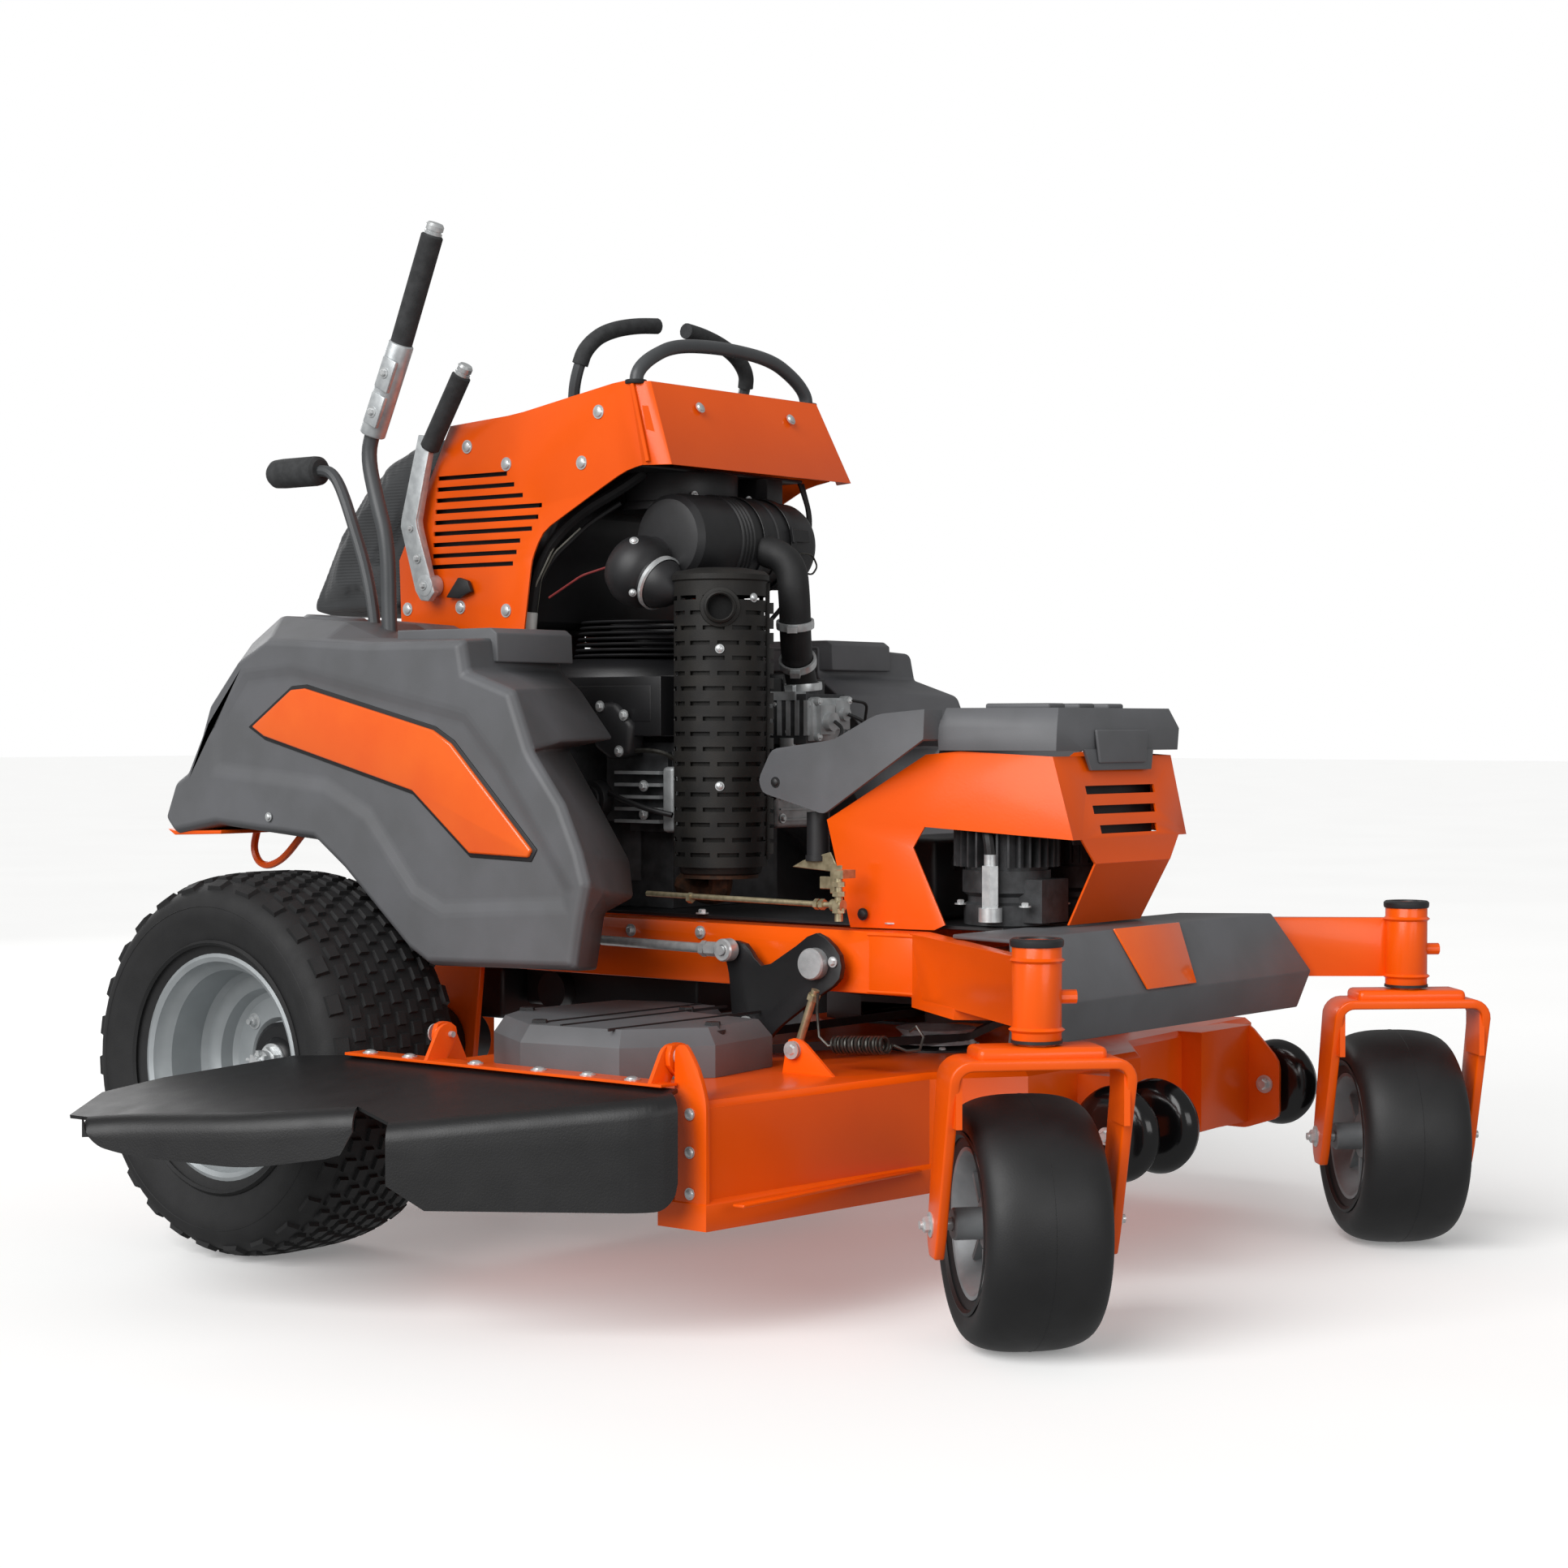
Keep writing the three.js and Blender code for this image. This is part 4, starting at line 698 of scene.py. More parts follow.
def make_fork_hardware(side):
    bm = bmesh.new()
    for edge in (-1, 1):
        spot = Vector((edge * 122, CASTER_TRAIL, CASTER_R))
        hex_bolt(bm, spot, (edge, 0, 0), 17, 6)
    round_bar(bm, (-120, CASTER_TRAIL, CASTER_R), (120, CASTER_TRAIL, CASTER_R), 8, 24)
    bm.transform(caster_turn(side))
    finished(f"axle_nuts_{side}", bm, ZINC, f"fork_{side}")
    s = SIDES[side]
    bm = bmesh.new()
    spun(bm, [(22, 526), (33.5, 526), (34.5, 529), (34.5, 534), (32, 536.5), (24, 536.5), (22, 533)],
        (s * CASTER_X, CASTER_Y, 0), "z", 40, closed=True)
    spun(bm, [(0, 531), (24, 531), (24, 533), (10, 534), (0, 534)], (s * CASTER_X, CASTER_Y, 0), "z", 32)
    merged(bm)
    round_bar(bm, (s * CASTER_X, CASTER_Y, 404), (s * CASTER_X, CASTER_Y, 408), 33, 36)
    spot = Vector((s * CASTER_X + 26, CASTER_Y - 26, 462))
    round_bar(bm, spot, spot + Vector((9, -9, 0)), 6, 16)
    finished(f"caster_caps_{side}", bm, NYLON)
    # Weld fillets where the arm meets the tube.
    bm = bmesh.new()
    for height in (421, 509):
        spun(bm, [(31, height - 4), (36, height), (31, height + 4)], (s * CASTER_X, CASTER_Y, 0), "z", 40,
            closed=True)
    merged(bm)
    finished(f"caster_welds_{side}", bm, POWDER)


# ---- fenders ----
FENDER_INNER_X = 320
FENDER_SHOULDER_X = 465
FENDER_OUTER_X = 560
FENDER_RINGS = {
    "outer": [(290, 631), (316, 657), (289, 717), (259, 733), (225, 791), (205, 839), (134, 912), (66,
                                                                                                   944),
              (-60, 938), (-160, 932), (-361, 932), (-371, 886), (-463, 857), (-498, 775), (-505, 764),
              (-562, 695), (-596, 627), (-612, 580), (-600, 535), (-585, 458), (-290, 450), (-247, 472),
              (-105, 588), (-42, 630), (186, 648)],
    "shoulder": [(300, 631), (326, 657), (300, 717), (278, 733), (262, 791), (262, 845), (208, 937), (134,
                                                                                                      981),
                 (-20, 968), (-90, 941), (-350, 937), (-358, 888), (-430, 859), (-475, 782), (-440, 770),
                 (-502, 694), (-548, 615), (-560, 566), (-530, 528), (-515, 448), (-290, 446), (-247, 472),
                 (-105, 588), (-42, 630), (186, 648)],
    "inner": [(300, 631), (326, 657), (300, 717), (278, 733), (262, 791), (262, 845), (208, 937), (134,
                                                                                                   981),
              (-20, 968), (-90, 941), (-336, 941), (-336, 890), (-378, 860), (-445, 786), (-353, 771),
              (-412, 693), (-478, 603), (-486, 548), (-428, 522), (-411, 434), (-290, 440), (-247, 472),
              (-105, 588), (-42, 630), (186, 648)],
}
RECESS_DEPTH = 5
FLANK_RECESS = [(196, 806), (118, 892), (8, 900), (-253, 852), (-372, 826), (-448, 752), (-545, 632), (-588,
    573), (-576, 541), (-321, 526), (-257, 553), (-156, 664), (-66, 705), (196, 728)]
BADGE_OUTLINE = [(100, 804), (7, 862), (-25, 864), (-305, 800), (-343, 780), (-507, 627), (-499, 615),
    (-380, 618), (-261, 708), (69, 788)]
INNER_TOP = [(130, 980), (-20, 968), (-90, 941), (-160, 941), (-160, 936), (-88, 936), (-18, 963), (130,
    975)]


def shrunk(points, distance):
    """Outline moved inwards by a distance, each corner along its bisector."""
    count = len(points)
    corners = [Vector(p) for p in points]
    area = sum(a.x * b.y - b.x * a.y for a, b in zip(corners, corners[1:] + corners[:1]))
    turn = 1 if area > 0 else -1
    result = []
    for i, corner in enumerate(corners):
        before = (corner - corners[i - 1]).normalized()
        after = (corners[(i + 1) % count] - corner).normalized()
        across = (Vector((-before.y, before.x)) + Vector((-after.y, after.x))).normalized()
        reach = distance / max(across.dot(Vector((-before.y, before.x))), 0.35)
        result.append(tuple(corner + across * reach * turn))
    return result


def ring(bm, x, outline):
    """Closed loop of edges in the plane x."""
    verts = [bm.verts.new((x, y, z)) for y, z in outline]
    return [bm.edges.new(pair) for pair in zip(verts, verts[1:] + verts[:1])]


def bridged(bm, loops):
    for first, second in zip(loops, loops[1:]):
        bmesh.ops.bridge_loops(bm, edges=first + second)


def make_fender(side):
    s = SIDES[side]
    outer, shoulder, inner = (FENDER_RINGS[key] for key in ("outer", "shoulder", "inner"))
    bm = bmesh.new()
    loops = [ring(bm, s * FENDER_INNER_X, inner), ring(bm, s * FENDER_SHOULDER_X, shoulder), ring(bm,
        s * (FENDER_OUTER_X - 12), outer), ring(bm, s * FENDER_OUTER_X, shrunk(outer, 9))]
    bridged(bm, loops)
    rim = ring(bm, s * FENDER_OUTER_X, FLANK_RECESS)
    bmesh.ops.triangle_fill(bm, use_beauty=True, use_dissolve=False, edges=loops[-1] + rim, normal=(s, 0,
        0))
    floor = ring(bm, s * (FENDER_OUTER_X - RECESS_DEPTH), shrunk(FLANK_RECESS, 20))
    bridged(bm, [rim, floor])
    bmesh.ops.contextual_create(bm, geom=floor)
    bmesh.ops.recalc_face_normals(bm, faces=bm.faces)
    bmesh.ops.dissolve_limit(bm, angle_limit=math.radians(1), verts=bm.verts, edges=bm.edges)
    piece = finished(f"fender_shell_{side}", bm, MOULDING, replaces=[f"fender_{side}"], recalc=False)
    without_creases(piece)
    rounded_by(piece, 7, 3, 11)
    walled(piece, 5)

    bm = bmesh.new()
    side_plate(bm, INNER_TOP, s * 232, s * (FENDER_INNER_X + 1))
    # Tray along the inner front edge: a long block with a rounded end that stands above the fender.
    # On the right the tray starts further forward, clear of the lift lever's travel.
    back = -152 if side == "right" else -88
    tray = [(back, 951), (-352, 951), (-364, 943), (-366, 900), (back, 900)]
    side_plate(bm, tray, s * 322, s * 486)
    bevel_edges(bm, 6, 3)
    finished(f"fender_tray_{side}", bm, MOULDING)

    # Blank badge lying in a dark gasket on the flank.
    bm = bmesh.new()
    side_plate(bm, shrunk(BADGE_OUTLINE, -5), s * (FENDER_OUTER_X - 8), s * (FENDER_OUTER_X - 3))
    bevel_edges(bm, 1.5, 2)
    finished(f"badge_gasket_{side}", bm, NYLON)
    bm = bmesh.new()
    side_plate(bm, shrunk(BADGE_OUTLINE, 1), s * (FENDER_OUTER_X - 6), s * (FENDER_OUTER_X + 2))
    bevel_edges(bm, 3.5, 3, 20)
    finished(f"badge_{side}", bm, BADGE)

    # Cup holder: a rim standing round a black disc, which is painted shade of the deep well.
    cup = Vector((s * 400, 80, 975.7))
    slope = Matrix.Rotation(math.atan2(13, 154), 4, "X")
    bm = bmesh.new()
    spun(bm, [(38, -2), (40, 4), (46, 5), (50, 2), (52, -3)], (0, 0, 0), "z", 48, closed=True)
    merged(bm)
    bm.transform(Matrix.Translation(cup) @ slope)
    finished(f"cup_rim_{side}", bm, MOULDING)
    bm = bmesh.new()
    spun(bm, [(0, -1), (38, -1), (39, 2.6), (39, -4), (0, -4)], (0, 0, 0), "z", 48)
    merged(bm)
    bm.transform(Matrix.Translation(cup) @ slope)
    finished(f"cup_well_{side}", bm, NYLON)

    # Steel carrier under the rear lip, with its loop bracket down towards the tyre.
    bm = bmesh.new()
    side_plate(bm, [(318, 640), (300, 630), (186, 634), (186, 640), (296, 637)], s * 300, s * 548)
    side_plate(bm, [(140, 642), (-30, 622), (-40, 600), (130, 616)], s * 330, s * 336)
    bevel_edges(bm, 1.5, 2)
    pipe(bm, [(s * 430, 236, 636), (s * 430, 246, 606), (s * 430, 232, 582), (s * 430, 206, 578), (s * 430,
        170, 592), (s * 430, 128, 630)], 6, 12)
    finished(f"fender_carrier_{side}", bm, POWDER)
    bolts = [((s * (FENDER_OUTER_X + 2), 56, 664), (s, 0, 0), 7)]
    fasteners(f"fender_bolts_{side}", "chassis", bolts, dome_bolt)


# ---- engine ----
EXHAUST = Vector((-154, -518, 0))


def make_muffler():
    x, y = EXHAUST.x, EXHAUST.y
    bm = bmesh.new()
    spun(bm, [(0, 575), (54, 575), (62, 580), (66, 592), (66, 985), (60, 994), (0, 996)], EXHAUST, "z", 48)
    merged(bm)
    finished("muffler_can", bm, STOVE, replaces=["muffler"])
    bm = bmesh.new()
    pipe(bm, [(x, y, 582), (x, y, 548), (x + 8, y + 40, 548), (x + 20, y + 92, 560)], 19, 16)
    round_bar(bm, (x, y, 572), (x, y, 588), 58, 40)
    finished("exhaust_pipe", bm, RUST)


def make_muffler_shield():
    """Pressed guard with staggered rows of slots, ten to a row."""
    steps, pitch, slot_height, first, rows = 40, 23, 6.5, 606, 18
    heights = []
    for row in range(rows):
        heights += [first + row * pitch, first + row * pitch + slot_height]
    wall = [(72, 590)] + [(72, z) for z in heights] + [(72, 1026), (75, 1028), (75, 1036), (68, 1042), (40,
        1047), (0, 1049)]
    bm = bmesh.new()
    spun(bm, wall, EXHAUST, "z", steps)
    bmesh.ops.remove_doubles(bm, verts=bm.verts, dist=0.05)
    cut = []
    for face in bm.faces:
        middle = face.calc_center_median()
        row, above = divmod(middle.z - first, pitch)
        turn = math.atan2(middle.y - EXHAUST.y, middle.x - EXHAUST.x) % math.tau
        column = int(turn / math.tau * steps) + 2 * (int(row) % 2)
        if 0 <= row < rows and above < slot_height and column % 4 != 3:
            cut.append(face)
    bmesh.ops.delete(bm, geom=cut, context="FACES_ONLY")
    bmesh.ops.delete(bm, geom=[e for e in bm.edges if not e.link_faces], context="EDGES")
    bmesh.ops.recalc_face_normals(bm, faces=bm.faces)
    piece = finished("muffler_guard", bm, STOVE, replaces=["muffler_shield"], recalc=False)
    walled(piece, 1.8)

    outward = Vector((-46, -38, 0)).normalized()
    mouth = EXHAUST + outward * 64 + Vector((0, 0, 985))
    bm = bmesh.new()
    spun(bm, [(19, -4), (19, 20), (21, 22), (24, 20), (25, 10), (30, 9), (31, 4), (25, -4)], (0, 0, 0), "z",
        40, closed=True)
    merged(bm)
    bm.transform(facing(mouth, outward))
    finished("outlet_collar", bm, STOVE)
    # Near-black disc closing the outlet: soot, and painted shade of the bore behind it.
    bm = bmesh.new()
    round_bar(bm, mouth + outward * 6, mouth + outward * 8.6, 20, 32)
    finished("outlet_bore", bm, SOOT_AND_SHADE)
    # Turned-out seam flange where the guard's two edges meet, notched at each row.
    seam = Matrix.Translation(EXHAUST) @ Matrix.Rotation(math.radians(-58), 4, "Z")
    bm = bmesh.new()
    for row in range(rows - 1):
        low = first + row * pitch + 8
        block(bm, (70, -2, low - 5), (82, 2, low + 12))
    block(bm, (70, -1.5, 600), (76, 1.5, 1024))
    bm.transform(seam)
    finished("guard_seam", bm, STOVE)
    spots = []
    for z, bearing in ((922, -141), (714, -141), (1000, -96)):
        away = Vector((math.cos(math.radians(bearing)), math.sin(math.radians(bearing)), 0))
        spots.append((EXHAUST + away * 72 + Vector((0, 0, z)), away, 7))
    fasteners("guard_screws", "chassis", spots, dome_bolt)


def make_blower():
    centre = (0, -235, 0)
    bm = bmesh.new()
    spun(bm, [(0, 800), (192, 800), (196, 804), (199, 826), (198, 850), (194, 872), (186, 894), (172, 906),
        (150, 912), (118, 914), (116, 924), (62, 932), (60, 950), (54, 955), (0, 956)], centre, "z", 64)
    for i in range(14):
        radius = 66 + i * 3.8
        spun(bm, [(radius, 926), (radius + 1.4, 933 - i * 0.4), (radius + 2.4, 926)], centre, "z", 48,
            closed=True)
    merged(bm)
    for s in (-1, 1):
        block(bm, (s * 70, -440, 790), (s * 205, -240, 882))
        for i in range(3):
            block(bm, (s * (96 + i * 34) - 3, -443, 800), (s * (96 + i * 34) + 3, -300, 889 - i * 4))
        block(bm, (s * 204 - 2, -420, 812), (s * 204 + 2, -262, 868))
    bevel_edges(bm, 5, 3, 40)
    finished("blower_shroud", bm, ENAMEL, replaces=["blower_housing"])
    # Starter cup and cooling fins stacked above the shroud.
    bm = bmesh.new()
    for i in range(7):
        z = 916 + i * 9
        spun(bm, [(70, z), (128 - i * 2, z), (130 - i * 2, z + 2), (128 - i * 2, z + 4), (70, z + 4)], (-20,
            -262, 0), "z", 48, closed=True)
    merged(bm)
    finished("debris_screen", bm, NYLON)
    # Outer cover of each head: black, held by three bolts.
    for side, s in SIDES.items():
        bm = bmesh.new()
        plate_ring = [(-388, 808), (-352, 842), (-318, 842), (-300, 812), (-306, 772), (-340, 752), (-380,
            760)]
        side_plate(bm, plate_ring, s * 176, s * 214)
        bevel_edges(bm, 9, 3)
        finished(f"head_cover_{side}", bm, NYLON)
        spots = [((s * 214, y, z), (s, 0, 0), 9) for y, z in ((-372, 822), (-322, 836), (-362, 766))]
        fasteners(f"head_cover_bolts_{side}", "chassis", spots)


def make_heads():
    """Valve covers and cooling fins of the two cylinders, oil filters, the carburettor and its hoses."""
    for side, s in SIDES.items():
        bm = bmesh.new()
        low, high = sorted((s * 66, s * 186))
        block(bm, (low, -450, 640), (high, -425, 742))
        bevel_edges(bm, 7, 3)
        for i in range(6):
            z = 652 + i * 17
            block(bm, (low + 8, -453, z), (high - 8, -448, z + 3))
        for i in range(5):
            z = 654 + i * 19
            block(bm, (s * 150, -424, z), (s * 190, -330, z + 5))
        finished(f"valve_cover_{side}", bm, CAST)
        spots = [((s * x, -451, z), (0, -1, 0), 8) for x in (80, 172) for z in (656, 728)]
        spots += [((s * 190, -392, z), (s, 0, 0), 9) for z in (668, 712)]
        fasteners(f"head_bolts_{side}", "chassis", spots)
        bm = bmesh.new()
        pipe(bm, [(s * 176, -448, 752), (s * 190, -432, 764), (s * 196, -402, 768), (s * 194, -352, 764)],
            4, 10)
        finished(f"fuel_line_{side}", bm, SPRING_STEEL)
        bm = bmesh.new()
        round_bar(bm, (s * 190, -300, 690), (s * 214, -300, 690), 30, 32)
        round_bar(bm, (s * 214, -300, 690), (s * 220, -300, 690), 22, 32)
        pipe(bm, [(s * 200, -330, 700), (s * 214, -370, 690), (s * 210, -420, 676), (s * 196, -456, 668)],
            5, 10)
        bevel_edges(bm, 2, 2)
        finished(f"oil_filter_{side}", bm, NYLON)
    bm = bmesh.new()
    block(bm, (34, -552, 780), (126, -452, 850))
    bevel_edges(bm, 5, 2)
    block(bm, (40, -562, 792), (76, -550, 838))
    block(bm, (84, -558, 800), (120, -550, 846))
    round_bar(bm, (58, -574, 812), (58, -552, 812), 15, 28)
    round_bar(bm, (102, -566, 824), (102, -552, 824), 11, 28)
    round_bar(bm, (44, -500, 770), (44, -500, 786), 20, 28)
    for i in range(5):
        block(bm, (28, -544 + i * 18, 790), (34, -536 + i * 18, 846))
    block(bm, (26, -520, 846), (60, -470, 860))
    corners = ((42, 844), (120, 846), (42, 788), (120, 792))
    for x, z in corners:
        round_bar(bm, (x, -556, z), (x, -540, z), 7, 16)
    finished("carburettor", bm, CAST)
    spots = [((x, -557, z), (0, -1, 0), 6) for x, z in corners]
    spots += [((34, y, z), (-1, 0, 0), 6) for y, z in ((-540, 840), (-476, 840), (-500, 796))]
    fasteners("carburettor_screws", "chassis", spots)
    bm = bmesh.new()
    pipe(bm, [(58, -576, 812), (50, -600, 800), (20, -596, 760), (-20, -560, 720), (-30, -520, 690)], 3, 8)
    pipe(bm, [(120, -560, 846), (150, -570, 842), (180, -540, 800), (190, -500, 730), (180, -470, 690)],
        2.5, 8)
    pipe(bm, [(102, -568, 824), (118, -590, 812), (150, -580, 790), (170, -540, 770), (176, -500, 760)],
        3.5, 8)
    finished("fuel_hoses", bm, HOSE)


def make_air_cleaner():
    centre = Vector((-78, -420, 1096))
    bm = bmesh.new()
    body = [(0, -92), (48, -92), (62, -88), (70, -78), (72, -60), (72, 0)]
    for i in range(4):
        body += [(72, 8 + i * 9), (74.5, 10 + i * 9), (74.5, 13 + i * 9), (72, 15 + i * 9)]
    body += [(72, 96), (74, 98), (74, 106), (72, 108), (72, 128), (70, 130), (70, 138), (72, 140), (70,
        190), (66, 200), (54, 206), (20, 206), (18, 202), (0, 202)]
    spun(bm, body, centre, "x", 64)
    merged(bm)
    block(bm, (-70, -402, 968), (40, -396, 1040))
    finished("air_cleaner_canister", bm, NYLON, replaces=["air_cleaner"])
    bm = bmesh.new()
    spun(bm, [(73, 127), (76, 126), (76, 141), (73, 140)], centre, "x", 64, closed=True)
    spun(bm, [(73, 60), (75, 59), (75, 70), (73, 69)], centre, "x", 64, closed=True)
    merged(bm)
    for turn in (-40, 80, 200):
        around = Matrix.Translation(centre) @ Matrix.Rotation(math.radians(turn), 4, "X")
        lug(bm, around, (148, 0, 76), (46, 20, 3))
        lug(bm, around, (128, 0, 78), (6, 26, 5))
    bevel_edges(bm, 0.8, 1)
    finished("canister_bands", bm, ENAMEL)
    # Wire bail of the end cap.
    bm = bmesh.new()
    pipe(bm, [(58, -494, 1076), (60, -500, 1052), (96, -500, 1048), (112, -498, 1062), (96, -500, 1080),
        (70, -498, 1082), (58, -494, 1076)], 1.6, 8)
    finished("bail_wire", bm, SPRING_STEEL)
    # Round inlet head of the air cleaner, with its cone pointing forwards and its bright ring.
    head = Vector((-196, -392, 1044))
    ahead = Vector((0.02, -0.88, -0.42)).normalized()
    place = facing(head, ahead)
    bm = bmesh.new()
    spun(bm, [(0, -46), (30, -44), (46, -34), (55, -16), (57, 0), (54, 16), (47, 28), (42, 32), (42, 40),
        (0, 40)], (0, 0, 0), "z", 56)
    spun(bm, [(0, 40), (40, 40), (40, 48), (30, 66), (16, 82), (8, 88), (0, 90)], (0, 0, 0), "z", 56)
    merged(bm)
    bm.transform(place)
    round_bar(bm, head + Vector((10, 6, 6)), head + Vector((120, -20, 46)), 42, 40)
    finished("inlet_head", bm, NYLON)
    bm = bmesh.new()
    spun(bm, [(41, 38), (44, 38), (44.5, 44), (41.5, 46)], (0, 0, 0), "z", 56, closed=True)
    merged(bm)
    bm.transform(place)
    finished("inlet_ring", bm, ZINC)
    spots = [(head + Vector((-32, -14, 46)), (-0.6, -0.5, 0.6), 7), (head + Vector((-44, -22, -34)), (-0.8,
        -0.5, -0.4), 6)]
    fasteners("inlet_screws", "chassis", spots, dome_bolt)


def make_intake_elbow():
    route = [(-12, -466, 1088), (4, -530, 1068), (6, -536, 1000), (28, -520, 932), (64, -500, 888), (74,
        -500, 860)]
    bm = bmesh.new()
    pipe(bm, route, 25, 28, 8, 60)
    finished("elbow_hose", bm, HOSE, replaces=["intake_elbow"])
    bm = bmesh.new()
    for spot, direction in (((17, -528, 966), (0.25, 0.15, -1)), ((46, -510, 908), (0.7, 0.4, -1)), ((73,
            -500, 868), (0.1, 0, -1))):
        ribs = bmesh.new()
        spun(ribs, [(26, -6), (30, -6), (30.5, 0), (30, 6), (26, 6)], (0, 0, 0), "z", 40, closed=True)
        merged(ribs)
        block(ribs, (-8, -38, -5), (8, -28, 5))
        ribs.transform(facing(spot, direction))
        absorbed(bm, ribs)
    finished("hose_clamps", bm, ZINC)


def make_pumps():
    for side, s in SIDES.items():
        x, y = s * 95, -1010
        bm = bmesh.new()
        spun(bm, [(0, 519), (62, 519), (62, 548), (56, 552), (56, 560), (64, 566), (64, 598), (0, 600)], (x,
            y, 0), "z", 48)
        spun(bm, [(0, 596), (60, 596), (60, 664), (52, 670), (0, 671)], (x, y, 0), "z", 48)
        merged(bm)
        for i in range(30):
            turn = Matrix.Translation((x, y, 0)) @ Matrix.Rotation(math.tau * i / 30, 4, "Z")
            lug(bm, turn, (66, 0, 634), (22, 3.2, 62))
        block(bm, (x - 34, y - 84, 524), (x + 34, y - 40, 586))
        finished(f"pump_finned_{side}", bm, DARK_CAST, replaces=[f"hydro_pump_{side}"])
        bm = bmesh.new()
        round_bar(bm, (s * 168, -1032, 540), (s * 168, -1032, 606), 13, 6)
        round_bar(bm, (s * 168, -1032, 600), (s * 168, -1032, 622), 9, 20)
        round_bar(bm, (s * 168, -1032, 526), (s * 168, -1032, 546), 17, 24)
        for i in range(4):
            hex_bolt(bm, (x + (50 if i % 2 else -50), y + (46 if i < 2 else -66), 548), (0, 0, 1), 9)
        finished(f"pump_fittings_{side}", bm, ZINC)
        bm = bmesh.new()
        pipe(bm, [(s * 168, -1032, 622), (s * 170, -1030, 646), (s * 150, -1010, 664), (s * 96, -960, 660),
            (s * 70, -900, 600), (s * 60, -820, 540)], 8, 14)
        finished(f"pump_hose_{side}", bm, HOSE)


# ---- tower ----
def make_tower_details():
    for side, s in SIDES.items():
        spots = [((s * 225, y, z), (s, 0, 0), 11) for y, z in ((-42, 1257), (-130, 1224), (-330, 1294),
            (-294, 1217), (97, 998), (-26, 998), (-129, 990))]
        fasteners(f"tower_bolts_{side}", "chassis", spots, dome_bolt)
        # Folded corner of the console, seen as a smooth round band.
        bm = bmesh.new()
        pipe(bm, [(s * 224, -399, 1332), (s * 242, -447, 1209)], 3.4, 12)
        finished(f"console_fold_{side}", bm, POWDER)
        # Dark plate seen through the louvres: painted shade of the tower's inside.
        bm = bmesh.new()
        side_plate(bm, [(-214, 1226), (58, 1226), (58, 1048), (-150, 1048)], s * 206, s * 211)
        finished(f"louvre_baffle_{side}", bm, NYLON)
    lean = Vector((0, -0.913, 0.407)).normalized()
    spots = [((x, -442, 1302), lean, 9) for x in (-113, 113)]
    fasteners("console_bolts", "chassis", spots, dome_bolt)
    # Instruments on the console's top: hour meter, key switch, choke and throttle knobs.
    bm = bmesh.new()
    block(bm, (-40, -262, 1312), (44, -214, 1330))
    bevel_edges(bm, 4, 3)
    for x, radius in ((-96, 14), (92, 11), (128, 11)):
        round_bar(bm, (x, -240, 1306), (x, -240, 1322), radius, 28)
    round_bar(bm, (92, -240, 1322), (92, -240, 1344), 6, 20)
    round_bar(bm, (92, -240, 1344), (92, -240, 1356), 13, 28, 10)
    round_bar(bm, (128, -240, 1322), (128, -240, 1338), 6, 20)
    round_bar(bm, (128, -240, 1338), (128, -240, 1350), 13, 28, 10)
    block(bm, (-99, -252, 1320), (-93, -228, 1342))
    finished("console_controls", bm, NYLON)
    # Underside tray of the console with the relay block below it.
    bm = bmesh.new()
    block(bm, (-200, -398, 1206), (200, -190, 1212))
    round_bar(bm, (-30, -330, 1160), (-30, -330, 1207), 92, 48)
    round_bar(bm, (-30, -330, 1148), (-30, -330, 1162), 96, 48)
    block(bm, (80, -420, 1150), (120, -340, 1206))
    bevel_edges(bm, 2.5, 2, 40)
    finished("console_tray", bm, NYLON)
    spots = [((x, -408, 1168), (0, -1, 0), 8) for x in (-88, 46)]
    fasteners("tray_screws", "chassis", spots)


def make_cables():
    bm = bmesh.new()
    pipe(bm, [(-196, -150, 930), (-196, -158, 1000), (-194, -170, 1060), (-188, -205, 1110), (-176, -260,
        1150), (-150, -310, 1180), (-120, -330, 1206)], 9, 14)
    pipe(bm, [(-186, -140, 925), (-184, -150, 1010), (-180, -190, 1075), (-160, -250, 1128), (-130, -290,
        1160)], 4, 10)
    pipe(bm, [(205, -392, 1206), (212, -405, 1150), (206, -400, 1080), (190, -370, 1010), (170, -330, 960)],
        4, 10)
    pipe(bm, [(190, -398, 1206), (196, -412, 1160), (198, -410, 1110), (180, -390, 1060)], 3, 8)
    finished("control_cables", bm, HOSE)
    bm = bmesh.new()
    round_bar(bm, (-197, -151, 952), (-197, -155, 988), 12.5, 28)
    bevel_edges(bm, 2, 2)
    finished("cable_sleeve", bm, WHITE_NYLON, "chassis", "zinc_plate")
    bm = bmesh.new()
    pipe(bm, [(-190, -190, 1010), (-178, -250, 1044), (-150, -300, 1062)], 1.8, 8)
    finished("sensor_wire", bm, RED_WIRE, "chassis", "rubber_hose")
    bm = bmesh.new()
    pipe(bm, [(-188, -160, 985), (-190, -172, 1040), (-184, -196, 1082), (-170, -240, 1120)], 1.6, 8)
    pipe(bm, [(-192, -150, 975), (-200, -170, 1030), (-190, -200, 1090), (-176, -240, 1140)], 1.6, 8)
    finished("signal_wires", bm, PALE_WIRE, "chassis", "rubber_hose")


PAD_VOXEL = 6 * MM
PAD_PRESSURE = 4
PAD_FRAMES = 20
PAD_SWELL = 7 * MM                # the most that the cover may move outwards


